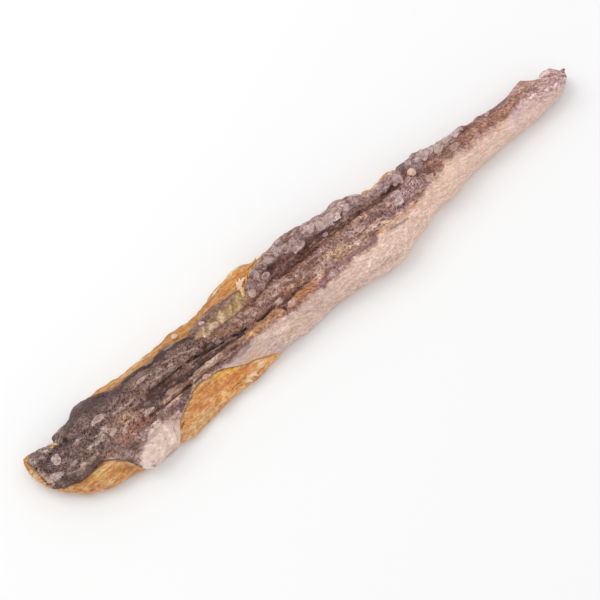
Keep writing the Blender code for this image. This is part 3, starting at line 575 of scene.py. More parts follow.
    "tan strand c": ("c0a091", 0.7, 0.15, [(-99, -10, 0.4), (-93, -10.6, 0.4), (-87, -10, 0.4)]),
    # the dark tints of the splits are painted shade inside them
    "split a": ("3d2622", 0.85, -0.2, [(-90, -2.2, 0.31), (-84, -3.4, 0.38), (-78, -4.6, 0.31)]),
    "split b": ("402824", 0.85, -0.2, [(-86, -4.6, 0.38), (-80, -4.9, 0.38), (-74, -5.2, 0.31)]),
    "split c": ("472c26", 0.8, -0.2, [(-72, -4.8, 0.38), (-66, -5.2, 0.38), (-60, -5, 0.38)]),
    "split d": ("4d312b", 0.8, -0.2, [(-66, -0.2, 0.38), (-62, -1.6, 0.38), (-58, -2.4, 0.38)]),
    "split e": ("5d3f38", 0.8, -0.15, [(-78, -8.8, 0.31), (-72, -8.4, 0.38), (-66, -8.4, 0.31)]),
    "mauve streak": ("826069", 0.6, 0, [(-93, -12, 0.5), (-88, -12.4, 0.4), (-84, -11.2, 0.4)]),
    "mauve streak b": ("8a6a70", 0.6, 0, [(-97, -12, 0.5), (-91, -13.3, 0.5)]),
    "plum edge": ("8d6d72", 0.55, 0, [(-66, -10, 0.5), (-62, -11.2, 0.6), (-58, -12, 0.5), (-52, -11.6, 0.5)]),
    "block light a": ("b5978b", 0.7, 0.2, [(-61.5, -1.2, 0.9), (-60.5, -2, 0.7)]),
    "block light b": ("b08f80", 0.7, 0.2, [(-44, -0.4, 0.8), (-42.4, -1.3, 0.8)]),
    "block dark a": ("5f4136", 0.7, -0.2, [(-52.5, 1.8, 0.5), (-53, -0.6, 0.62)]),
    "block dark b": ("644539", 0.7, -0.2, [(-47, 2, 0.5), (-47.6, 0, 0.5)]),
    "block dark c": ("58392f", 0.7, -0.2, [(-40.4, 1.6, 0.62), (-38.4, -1.6, 0.62), (-38, -3.4, 0.5)]),
    "olive edge": ("6d523f", 0.75, -0.2, [(-60, 2.6, 0.31), (-50, 2.6, 0.31), (-40, 2.3, 0.38)]),
    "olive shade": ("86684a", 0.6, 0, [(-64, 6, 0.9), (-60, 6.6, 0.8), (-55, 7, 0.8)]),
    "olive shade b": ("8f7150", 0.6, 0, [(-47.5, 6.6, 1), (-46.6, 4.6, 0.6)]),
    "olive light": ("caaa80", 0.6, 0.15, [(-53, 6.4, 0.6), (-51.6, 4.4, 0.5)]),
    "olive light b": ("c8a678", 0.6, 0.15, [(-43.5, 4.4, 0.6), (-41, 5.6, 0.6)]),
    # dark lines along the roll's lip: painted shade under its overhanging edge
    "roll lip": ("43282a", 0.9, -0.35, [
        (-28, 8.1, 0.38), (-24, 7.9, 0.38), (-19.5, 9, 0.44), (-14.5, 9.8, 0.38), (-10.8, 8, 0.38), (-8, 6.4, 0.31)]),
    "roll lip b": ("4d3231", 0.85, -0.3, [
        (-2.6, 8.2, 0.62), (1, 7.7, 0.44), (5, 6.4, 0.38), (10, 7.2, 0.38), (16.6, 6.4, 0.44), (17.8, 7.6, 0.38)]),
    "roll lip c": ("5c4040", 0.8, -0.25, [(20, 6, 0.31), (24, 5.9, 0.31), (27, 4.9, 0.31)]),
    "channel ledge": ("7d5c58", 0.6, 0.2, [(-22, 6.2, 0.5), (-16, 6, 0.5), (-11, 6, 0.4)]),
    "slope glint": ("8d6a60", 0.5, 0, [(-25, 2, 0.6), (-21, 1.2, 0.6), (-14, 0.8, 0.5)]),
    "ridge pale a": ("b99a90", 0.6, 0.2, [(-22.5, -0.6, 0.6), (-20, -2.4, 0.5)]),
    "ridge pale b": ("b5958a", 0.6, 0.2, [(-16, -3.6, 0.5), (-12, -4.2, 0.5)]),
    "ridge pale c": ("b8998b", 0.6, 0.2, [(-9.4, -5.4, 0.5), (-5, -6, 0.5)]),
    "ridge pale d": ("be9f95", 0.6, 0.2, [(14, -2.6, 0.7), (17.6, -3.6, 0.6)]),
    "ridge umber a": ("6e4a3c", 0.7, -0.15, [(4.5, -2.3, 0.7), (6.5, -2.5, 0.6)]),
    "ridge umber b": ("70493c", 0.7, -0.15, [(9, -4.4, 0.7), (12, -5.2, 0.6)]),
    "ridge umber c": ("694641", 0.7, -0.15, [(14, -5.9, 0.8), (16.8, -5.5, 0.7)]),
    "ridge umber d": ("6a4744", 0.65, -0.15, [(24.5, -2.4, 1), (27, -1.6, 0.8), (28.5, -4.4, 0.9)]),
    "ridge umber e": ("6f4a47", 0.65, -0.15, [(32, -1, 0.7), (33.6, -3.4, 0.8)]),
    "ridge umber f": ("77504d", 0.6, -0.15, [(42.4, -6.2, 0.5), (44.2, -7.6, 0.5)]),
    "ridge umber g": ("7c5450", 0.6, 0, [(47, -1.4, 0.9), (49.4, -3.4, 0.8)]),
    "tan knot": ("b98c6c", 0.6, 0, [(-3.4, -3.2, 0.7), (1, -4.4, 0.9), (7.4, -3.4, 0.7)]),
    "tan knot b": ("b78b6d", 0.6, 0, [(20.5, 0.4, 0.8), (24, 0.2, 0.6)]),
    "amber thread": ("bf8d66", 0.7, -0.1, [(-0.5, -8.9, 0.31), (5, -8, 0.38)]),
    "amber thread b": ("b98a68", 0.7, 0, [(9, -12.3, 0.3), (13, -13.3, 0.35), (18, -14, 0.3)]),
    "amber cloud": ("cda384", 0.5, 0, [(20.5, -11, 1), (24, -10.4, 1.2), (30, -10, 0.8)]),
    "belly glow": ("efd3c2", 0.6, 0, [(10, -17.2, 0.9), (13.5, -17.6, 0.7)]),
    "belly shade": ("c0a092", 0.5, 0, [(-50, -13, 0.4), (-42, -15.4, 0.4), (-34, -17, 0.4)]),
    "belly shade b": ("c3a293", 0.5, 0, [(-34, -13.4, 0.4), (-24, -15.8, 0.4), (-14, -16.6, 0.4)]),
    # pleat a to e are painted shade on the sides of the olive folds turned from the light, and pleat f to j painted
    # highlights on their lit backs
    "pleat a": ("7d6047", 0.7, 0, [(-61.6, 3.8, 0.35), (-60.4, 5.6, 0.5), (-58.8, 8.6, 0.5)]),
    "pleat b": ("85684c", 0.7, 0, [(-55.4, 4.4, 0.4), (-54.2, 6.4, 0.5), (-53.2, 8.8, 0.5)]),
    "pleat c": ("82654a", 0.7, 0, [(-50.6, 3.8, 0.35), (-49.4, 6, 0.45), (-48, 8.4, 0.5)]),
    "pleat d": ("7f6145", 0.75, 0, [(-47.4, 3.4, 0.35), (-45.6, 6, 0.5), (-43.6, 9, 0.5)]),
    "pleat e": ("886a4b", 0.7, 0, [(-42.6, 3, 0.35), (-41, 5.4, 0.45), (-39.4, 7.6, 0.4)]),
    "pleat f": ("d8bd92", 0.6, 0, [(-63.4, 3, 0.4), (-62, 4.6, 0.5), (-60.8, 6.8, 0.4)]),
    "pleat g": ("dcc39c", 0.7, 0, [(-52.8, 3.6, 0.5), (-51.8, 6, 0.6), (-50.6, 8.8, 0.5)]),
    "pleat h": ("cfae78", 0.65, 0, [(-49, 3.2, 0.4), (-47.6, 5, 0.45), (-46, 7.4, 0.4)]),
    "pleat i": ("d3b481", 0.65, 0, [(-44.8, 3.2, 0.45), (-43, 5.2, 0.5), (-41, 7.8, 0.4)]),
    "pleat j": ("c9a877", 0.6, 0, [(-57.4, 6.4, 0.5), (-56.2, 8, 0.5)]),
    "patch seam a": ("bd9d8e", 0.6, -0.15, [(-111.5, -16.6, 0.38), (-108.2, -18.6, 0.38), (-107.6, -21.5, 0.38)]),
    "patch seam b": ("c2a294", 0.6, -0.15, [(-104.5, -15.4, 0.38), (-102.5, -18, 0.38), (-104, -21.6, 0.38)]),
    "patch seam c": ("bd9d8c", 0.6, -0.15, [(-99.6, -15.6, 0.38), (-98, -18, 0.38), (-99.4, -21.4, 0.38)]),
    "patch gleam a": ("f7e2d4", 0.7, 0.12, [(-110.6, -17.4, 0.4), (-107.4, -19.4, 0.4), (-106.8, -21.8, 0.3)]),
    "patch gleam b": ("f5dfd0", 0.7, 0.12, [(-101.6, -16, 0.4), (-100.4, -18.6, 0.4), (-101.8, -21.4, 0.3)]),
    "patch edge": ("a88783", 0.7, 0, [(-115, -17.4, 0.8), (-112.6, -16.6, 0.7), (-110.6, -15.4, 0.6)]),
    "patch top": ("d2b0a0", 0.7, 0, [(-105.4, -14.2, 0.7), (-103, -13.4, 0.8), (-101, -14.2, 0.6)]),
    "amber notch": ("cf9f64", 0.9, 0, [(-137.6, 10.2, 0.5), (-136.6, 8.2, 0.55), (-135.4, 6.5, 0.3)]),
    "mauve gaps": ("6c4d52", 0.7, -0.15, [(-110, -11.8, 0.62), (-104, -12.2, 0.5), (-99, -12.6, 0.5)]),
    "grey lump a": ("8d746f", 0.6, 0.15, [(-94.4, 8, 0.7), (-92, 6.4, 0.6)]),
    "grey lump b": ("a0857d", 0.6, 0.15, [(-88, 9.9, 0.7), (-85.6, 9.4, 0.6)]),
    "ridge mauve a": ("8a6468", 0.6, 0, [(-14.5, -10.5, 0.7), (-10, -10.9, 0.6), (-6, -10.2, 0.6)]),
    "ridge mauve b": ("7d5a60", 0.65, -0.15, [(-2, -8.2, 0.6), (-0.6, -9.4, 0.7)]),
    "ridge mauve c": ("8f6f78", 0.6, 0, [(12, -10.4, 0.6), (17, -11.9, 0.7), (19.4, -10.4, 0.5)]),
    "ridge mauve d": ("916f72", 0.6, 0, [(29, -6.4, 0.7), (33, -7.6, 0.8), (40, -8, 0.7)]),
    "ridge tan a": ("c29a7d", 0.65, 0, [(-22, -4.4, 0.5), (-18.6, -5.4, 0.5), (-15.6, -5, 0.4)]),
    "ridge tan b": ("c7a185", 0.6, 0, [(1, -6.3, 0.6), (6, -7, 0.7), (10.6, -6.6, 0.6)]),
    "ridge tan c": ("cda78b", 0.6, 0, [(21.4, -5.4, 0.7), (25.4, -6.4, 0.7), (28, -9.4, 0.6)]),
    "ridge tan d": ("c6a08d", 0.6, 0, [(32.6, -9.4, 0.5), (38, -9.6, 0.5), (44, -9.2, 0.6)]),
    "tail mottle a": ("d9b39c", 0.6, 0, [(57, -7, 1), (61, -6.4, 0.9), (64.6, -7.4, 0.8)]),
    "tail mottle b": ("c09284", 0.5, 0, [(52.4, -7, 0.8), (55.4, -8.4, 0.8)]),
    "tail mottle c": ("dcb797", 0.5, 0, [(69, -5.6, 1), (73.6, -6.4, 1.2)]),
    "tail mottle d": ("c99f91", 0.5, 0, [(78, -5.8, 1), (84, -5.2, 1.1), (90, -6, 0.9)]),
    "tail mottle e": ("c79e8d", 0.5, 0, [(94, -6, 0.9), (100, -6.4, 0.9), (106, -5.4, 0.8)]),
    "tail umber a": ("76503f", 0.6, -0.12, [(69.4, 0.4, 0.8), (74, -0.6, 1), (76, 0.8, 0.6)]),
    "tail umber b": ("7c5648", 0.6, -0.12, [(93, -2, 0.8), (94.4, -3.6, 0.7)]),
    "tail umber c": ("80584a", 0.55, -0.12, [(100, -3.4, 0.7), (105, -2.6, 0.8), (109.4, -3.4, 0.6)]),
    "tail umber d": ("7b564b", 0.55, -0.12, [(115, -2.4, 0.6), (119.4, -1.6, 0.7), (123, -2.6, 0.6)]),
    "tail umber e": ("845b50", 0.6, -0.12, [(127, -1.2, 0.8), (129.4, -2.4, 0.6)]),
}


# drying pulled the outline in or left it standing: how far in mm, and where
outlinePushes = [
    (-1.6, [(-136.5, 12.8, 1.6), (-135.3, 11.5, 1.6)]), (-1.1, [(-3, 19.2, 1.8), (-0.5, 18.9, 1.6)]),
    (-1.1, [(13, 17.6, 2.4), (15.6, 17, 2.2)]), (-1.5, [(26, 16.2, 2.6), (29, 15.5, 3)]),
    (2, [(32.8, 14, 2.1), (35.6, 13.5, 1.9)]), (-0.8, [(41, 12.6, 2), (44, 11.8, 2)]),
    (-1.7, [(56.6, 11.7, 1.7), (58.4, 11.4, 1.7)]), (-1.7, [(67, 11.7, 2.2), (71, 11, 3), (74.5, 10.4, 2)]),
    (-1.4, [(94, 7.3, 2.2), (97, 6.7, 1.9)]), (-0.7, [(131.5, 4.4, 1.8), (135, 3.8, 1.8)]),
    (0.9, [(140.4, 3, 1.5)]), (-1.5, [(146, 0.6, 1.6), (147.6, -1.6, 1.8)]),
]


def outlinePush(x, y):
    total = np.zeros(len(x))
    for push, path in outlinePushes:
        total += push * coverOf(path, x, y, 0.7, np.zeros(len(x)))
    return total


def coat(stops, x):
    places = [stop[0] for stop in stops]
    tints = np.array([linearColour(stop[1]) for stop in stops])
    return np.stack([np.interp(x, places, tints[:, band]) for band in range(3)], axis=1)


# where each kind of texture shows: strength, and a stroke
netPaths = [(1, [(-148, 3, 9), (-130, 2, 11), (-110, -1, 12), (-90, -2, 11), (-72, -2, 8), (-64, -2, 5)]),
            (0.75, [(-60, -1, 3), (-30, -1, 4), (0, -2, 5), (30, -2, 5), (52, -2, 4)]),
            (0.6, [(-64, 8, 2), (-56, 10.8, 2.4), (-42, 11, 2)])]
pitPaths = [(1, [(-119, -9, 3.5), (-108, -10, 4), (-100, -9, 3)]),
            (1, [(-98, -3, 1.6), (-85, -3, 1.6)]),
            (0.8, [(-1, -10.3, 2), (10, -10.8, 2), (20, -11.8, 2)]),
            (0.6, [(70, -1, 4), (100, -1, 4), (130, -1, 3)]),
            (0.6, [(-10, -5, 5), (20, -5, 5), (50, -4, 4)])]
ribPaths = [(1, [(-66, 5, 1.2), (-60, 5.5, 3), (-50, 6.3, 3.8), (-42, 6.3, 3.8), (-38, 5, 2)]),
            (0.8, [(-62, -0.5, 2.4), (-50, -0.5, 2.6), (-38, -1, 2.8)]),
            (0.9, [(-25, 3, 2.6), (0, 3, 2.6), (25, 2.4, 2), (48, 1.8, 1.2)]),
            (0.4, [(-124, 10, 3), (-110, 9, 3), (-92, 7, 2), (-72, 7, 2)])]
streakPaths = [(1, [(-104, -11, 3), (-94, -9.5, 4), (-80, -6.5, 3), (-64, -7.5, 3), (-50, -8.5, 2.5)]),
               (0.8, [(-96, -1, 2.5), (-80, -2, 3), (-62, -3.5, 2)]),
               (0.7, [(-38, -8.5, 2), (-16, -8.5, 2.2), (0, -9, 2.5), (24, -8.5, 2.5), (44, -8.5, 2)]),
               (0.5, [(-24, -2, 4), (0, -3.5, 4), (30, -4, 4)]),
               (1, [(-25, 6.9, 1.3), (-10, 6.8, 1.4), (2, 7, 1.2), (14, 5.9, 0.6)]),
               (0.7, [(-22, 3, 1.5), (20, 2.8, 1.3), (46, 1.6, 0.9)])]
lobePaths = [(1, [(-36, 7, 2), (-30, 11, 4.5), (-10, 14, 6.5), (12, 13, 6.5), (20, 12, 5.5)]),
             (0.2, [(22, 11, 5.5), (28, 10, 5.5), (48, 3.2, 1.5)]),
             (0.7, [(-147, 7, 3), (-138, 8, 3)]),
             (0.7, [(-141, -6.5, 2), (-128, -7, 2)]),
             (0.9, [(55, 6, 2.5), (66, 6, 3), (88, 6, 3)]),
             (0.25, [(120, -5, 3), (138, -6, 3)])]
meshPaths = [(0.7, [(52, 0, 8), (80, 0, 8)]),
             (0.25, [(82, 0, 8), (110, -1, 7), (146, -3, 7)]),
             (0.4, [(-30, -3, 7), (50, -3, 8)])]


def hemsOf(x, skinFound, flesh, coreY, turn):
    # the two hems as places along the feelers: the lists above where they hold, else where the solid skin ends
    crown = len(turn) // 2
    sideways = coreY + flesh * np.sin(turn)
    hems = np.zeros((len(x), 2))
    for i, station in enumerate(x):
        found = np.flatnonzero(skinFound[i])
        for which, lists, way in ((0, bellyHems, -1), (1, backHems, 1)):
            last = (found.min() if way < 0 else found.max()) if len(found) else crown + 40 * way
            hems[i, which] = last
            for spots in lists:
                if spots[0][0] <= station <= spots[-1][0]:
                    wanted = between(spots, station) * way
                    across = sideways[i, crown::way] * way
                    past = np.flatnonzero(across > wanted)
                    if len(past):
                        k = past[0]
                        part = (wanted - across[k - 1]) / max(across[k] - across[k - 1], 1e-6) if k else 0
                        hems[i, which] = crown + way * (k - 1 + part)
    return hems


def layRows(x, turn, coreY, outer, under, hems):
    # the same number of places across every station, evenly spaced from hem to hem: the sheet, the flesh below it,
    # and how far round the sheet each place lies from its crown
    rows = skinSheet["rows"]
    points = np.zeros((len(x), rows, 3))
    floor = np.zeros((len(x), rows, 3))
    arc = np.zeros((len(x), rows))
    feelers = np.arange(len(turn))
    for i in range(len(x)):
        fine = np.linspace(hems[i, 0], hems[i, 1], 400)
        angle = np.interp(fine, feelers, turn)
        middle = np.interp(fine, feelers, coreY[i])
        far = np.interp(fine, feelers, outer[i])
        near = np.interp(fine, feelers, under[i])
        y, z = middle + far * np.sin(angle), survey["coreHeight"] + far * np.cos(angle)
        run = np.concatenate([[0], np.cumsum(np.hypot(np.diff(y), np.diff(z)))])
        even = np.linspace(0, run[-1], rows)
        points[i] = np.stack([np.full(rows, x[i]), np.interp(even, run, y), np.interp(even, run, z)], axis=1)
        yLow, zLow = middle + near * np.sin(angle), survey["coreHeight"] + near * np.cos(angle)
        floor[i] = np.stack([np.full(rows, x[i]), np.interp(even, run, yLow), np.interp(even, run, zLow)], axis=1)
        arc[i] = even - run[np.argmin(np.abs(fine - len(turn) // 2))]
    for axis in (1, 2):
        points[..., axis] = blur(points[..., axis], (1.6, 0.6))
        floor[..., axis] = blur(floor[..., axis], (1.6, 0.6))
    return points, floor, arc


def makeSheet(name, shaped):
    # a grid whose places are moved to the shaped ones, and the row of that table that each vertex has
    stations, rows = shaped.shape[:2]
    bpy.ops.object.select_all(action="DESELECT")
    bpy.ops.mesh.primitive_grid_add(x_subdivisions=stations - 1, y_subdivisions=rows - 1, size=1)
    sheet = bpy.context.object
    sheet.name = sheet.data.name = name
    places = pointsOf(sheet.data)
    column = np.rint((places[:, 0] * mm + 0.5) * (stations - 1)).astype(int)
    row = np.rint((places[:, 1] * mm + 0.5) * (rows - 1)).astype(int)
    setPoints(sheet.data, shaped[column, row])
    return sheet, column * rows + row


def makeSkin():
    look, zone, size, stir, depth = skinSheet, skinZones, skinGrain, skinStir, skinShade
    x, turn, coreY, skinReach, fleshReach = surveyModel()
    print("survey: skin felt at", int(np.isfinite(skinReach).sum()), "of", skinReach.size, "places")
    usual = look["usualLift"]
    flesh = fillOutwards(np.where(np.isnan(fleshReach), skinReach - usual, fleshReach), 5.0)
    lift = fillOutwards(skinReach - flesh, usual)
    step = x[1] - x[0]
    outer = blur(flesh + np.clip(lift, look["leastLift"], None), (look["evenOut"] / step, look["evenAround"]))
    broad = blur(outer, (look["broadOut"] / step, look["broadAround"]))  # keeps the splits on the head half shallow
    headHalf = (x < zone["rollFrom"][1])[:, None]
    outer = np.where(headHalf, np.maximum(outer, broad - look["splitDepth"]), outer)
    under = blur(flesh, (look["evenOut"] / step, look["fleshAround"]))
    hems = blur(hemsOf(x, np.isfinite(skinReach), flesh, coreY, turn), (look["evenHem"] / step, 0.01))
    points, floor, arc = layRows(x, turn, coreY, outer, under, hems)

    # thin towards every free edge, so that the hem lies on the flesh
    edge = np.minimum(arc - arc[:, :1], arc[:, -1:] - arc)
    edge = np.minimum(edge, np.minimum(x - x[0], x[-1] - x)[:, None])
    height = np.linalg.norm(points - floor, axis=2)
    keep = look["hemLift"] + (np.maximum(height, look["hemLift"]) - look["hemLift"]) * ease(edge, 0, look["hemTaper"])
    points = floor + (points - floor) * (keep / np.maximum(height, 0.05))[..., None]

    flat = points.reshape(-1, 3)
    px, py = flat[:, 0], flat[:, 1]
    ragged = grains(flat, strokes["ragged"])

    # out is the way that the sheet faces at each place
    out = np.cross(np.gradient(points, axis=0), np.gradient(points, axis=1))
    out /= np.maximum(np.linalg.norm(out, axis=2, keepdims=True), 1e-9)

    way = np.stack([px, arc.ravel(), np.zeros(len(px))], axis=1)
    aside = np.stack([grain(way, size["bend"], 11), grain(way, size["bend"], 23), np.zeros(len(px))], axis=1)
    bent = way + aside * look["bend"]
    net = masks(netPaths, px, py, ragged)
    pits = masks(pitPaths, px, py, ragged)
    ribs = masks(ribPaths, px, py, ragged)
    lobes = masks(lobePaths, px, py, ragged)
    mesh = masks(meshPaths, px, py, ragged)
    streaks = masks(streakPaths, px, py, ragged)
    tailward = ease(px, *zone["tailward"])  # the edge between back and belly softens towards the tail
    border = between(bellyLine, px) - py + (ragged + grains(flat, stir["border"])) * (0.6 + 0.2 * tailward)
    belly = ease(border / (0.9 + 1.9 * tailward), -1, 1)
    dark = 1 - belly
    rolled = ease(py - between(foldLine, px) + ragged * 0.3, *zone["fold"])
    rolled *= ease(px, *zone["rollFrom"]) * (1 - ease(px, *zone["rollTo"]))
    net, pits, mesh = net * dark * (1 - ribs) * (1 - 0.7 * streaks), pits * dark, mesh * dark * (1 - lobes)
    streaks *= dark

    netLine = 1 - ease(pockets(bent, size["netPocket"], 1)[1], *zone["netLine"])
    pitHole = 1 - ease(pockets(bent, size["pitPocket"], 41)[0], *zone["pitHole"])
    ribWay, waveWay = px + size["ribSlope"] * py, arc.ravel() + size["waveSlope"] * px
    ribWave = np.sin(2 * np.pi * ribWay / size["ribEvery"] + grains(way, stir["ribs"]))
    bellyWave = np.sin(2 * np.pi * waveWay / size["waveEvery"] + grains(way, stir["waves"]))
    lobeNear, lobeSeam = pockets(bent, size["lobePocket"], 61)
    lobeDome = 1 - np.clip(lobeNear, 0, 1) ** 2 * 1.6
    lobeEdge = 1 - ease(lobeSeam, *zone["lobeEdge"])
    meshEdge = 1 - ease(pockets(bent, size["meshPocket"], 91)[1], *zone["meshEdge"])
    streakBacks = ridged(bent, size["streak"], 47)
    broad, medium, fine, tiny = (grain(flat, size[name], seed) for name, seed in (("broad", 31), ("medium", 33),
                                                                                  ("fine", 37), ("tiny", 43)))

    tone = coat(darkCoat, px) * dark[:, None] + coat(bellyCoat, px) * belly[:, None]
    tone += (coat(rollCoat, px) - tone) * rolled[:, None]
    relief = np.zeros(len(px))
    calm = np.zeros(len(px))
    # strokes follow the wandering of the folds, so none runs straight
    alongRoll = ease(py, *zone["straightAcross"]) * ease(px, *zone["straightFrom"])
    crisp = 1 - look["rollHeld"] * alongRoll * (1 - ease(px, *zone["straightTo"]))
    wanderX, wanderY = px + grains(flat, stir["strokesX"]) * crisp, py + grains(flat, stir["strokesY"]) * crisp
    gaps = 0.7 + 0.3 * ease(grain(flat, (2.4, 0.9, 0.9), 113), -0.3, 0.1)
    edges = ragged * look["raggedStroke"]
    paint(tone, relief, calm, skinPatches, wanderX, wanderY, look["strokeSoft"], edges, gaps)
    calm = 1 - (1 - calm) * (1 - look["bellyHeld"] * tailward * belly)  # the belly is tightest towards the tail
    still = 1 - look["held"] * calm
    folds = look["crumple"] * medium + look["finerCrumple"] * fine
    relief += look["crumple"] * broad + still * folds * (1 - look["bellyFlat"] * belly)
    relief += still * (look["net"] * net * netLine - look["pits"] * pits * pitHole)
    relief += look["ribs"] * ribs * ribWave + look["waves"] * belly * bellyWave
    relief += look["streaks"] * streaks * (streakBacks - 0.5)
    relief += look["lobes"] * lobes * (lobeDome - 0.5) - look["lobeEdge"] * lobes * lobeEdge
    relief += outlinePush(px, py) - look["mesh"] * mesh * meshEdge
    # lighter and darker in steps of a logarithm, with green and blue swinging most: the skin's own mottling, together
    # with painted highlights on the raised net lines, lobe domes and backs of ribs and folds, and painted shade in the
    # pits, seams and fold hollows that the relief cuts
    light = net * (depth["netLine"] * netLine - depth["netGround"])
    light += depth["ribs"] * ribs * ribWave - depth["pits"] * pits * (pitHole - 0.35)
    light += depth["waves"] * belly * bellyWave
    light += lobes * (depth["lobeDome"] * (lobeDome - 0.55) - depth["lobeEdge"] * lobeEdge)
    light += mesh * (depth["meshGround"] - depth["meshEdge"] * meshEdge)
    light += depth["streaks"] * streaks * (streakBacks - 0.5)
    folds = depth["medium"] * medium + depth["fine"] * fine + depth["tiny"] * tiny
    light += folds * (1 - depth["bellyFine"] * belly)
    light = light * still + depth["broad"] * broad * (1 - depth["bellyBroad"] * belly)
    tone *= np.exp(np.clip(light, depth["least"], depth["most"])[:, None] * depth["swing"])
    # tan against mauve in small mottles, strongest behind the shoulder, and a paler rim along the belly hem
    warmth = grains(flat, stir["tan"]) * still * (1 - depth["bellyBroad"] * belly)
    warmth *= 0.45 + 0.35 * ease(px, *zone["tan"])
    tone *= np.exp(warmth[:, None] * depth["warmth"])
    rim = (1 - ease(edge.ravel(), *zone["rimWidth"])) * (py < 0)
    rim = rim * ease(px, *zone["rimFrom"]) * (1 - ease(px, *zone["rimTo"]))
    tone += (linearColour(depth["rim"]) - tone) * depth["rimCover"] * rim[:, None]

    # ragged ends, and a hem that frays a little
    endShare = (1 - np.minimum(px - x[0], x[-1] - px) / look["endLength"]).clip(0, 1)
    shift = grains(way * [0, 1, 1], stir["ends"]) * look["raggedEnd"] * endShare
    relief = relief.reshape(points.shape[:2]) * ease(edge, *zone["hemFade"])
    shaped = points + out * relief[..., None]
    shift = np.where(px < 0, np.abs(shift) + look["headBare"] * endShare, -np.abs(shift))  # a rim of flesh at the head
    shaped[..., 0] += shift.reshape(points.shape[:2])
    shaped[..., 2] = np.maximum(shaped[..., 2], look["lowest"])

    skin, index = makeSheet("fish_skin", shaped)
    storeColour(skin.data, "tone", tone[index])
    storeColour(skin.data, "grounds", np.stack([net, pits, ribs], axis=1)[index])
    storeColour(skin.data, "finish", np.stack([lobes, mesh, belly], axis=1)[index])
    storeColour(skin.data, "lie", np.stack([streaks, 1 - calm], axis=1)[index])
    wayLayer = skin.data.attributes.new("skinWay", "FLOAT_VECTOR", "POINT")
    wayLayer.data.foreach_set("vector", (way * mm)[index].astype(np.float32).ravel())
    wall = skin.modifiers.new("thickness", "SOLIDIFY")
    wall.thickness = look["thickness"] * mm
    wall.offset = -1
    applyAll(skin)
    bpy.ops.object.shade_smooth()
    print("skin:", len(skin.data.polygons) * 2, "triangles")
    return skin


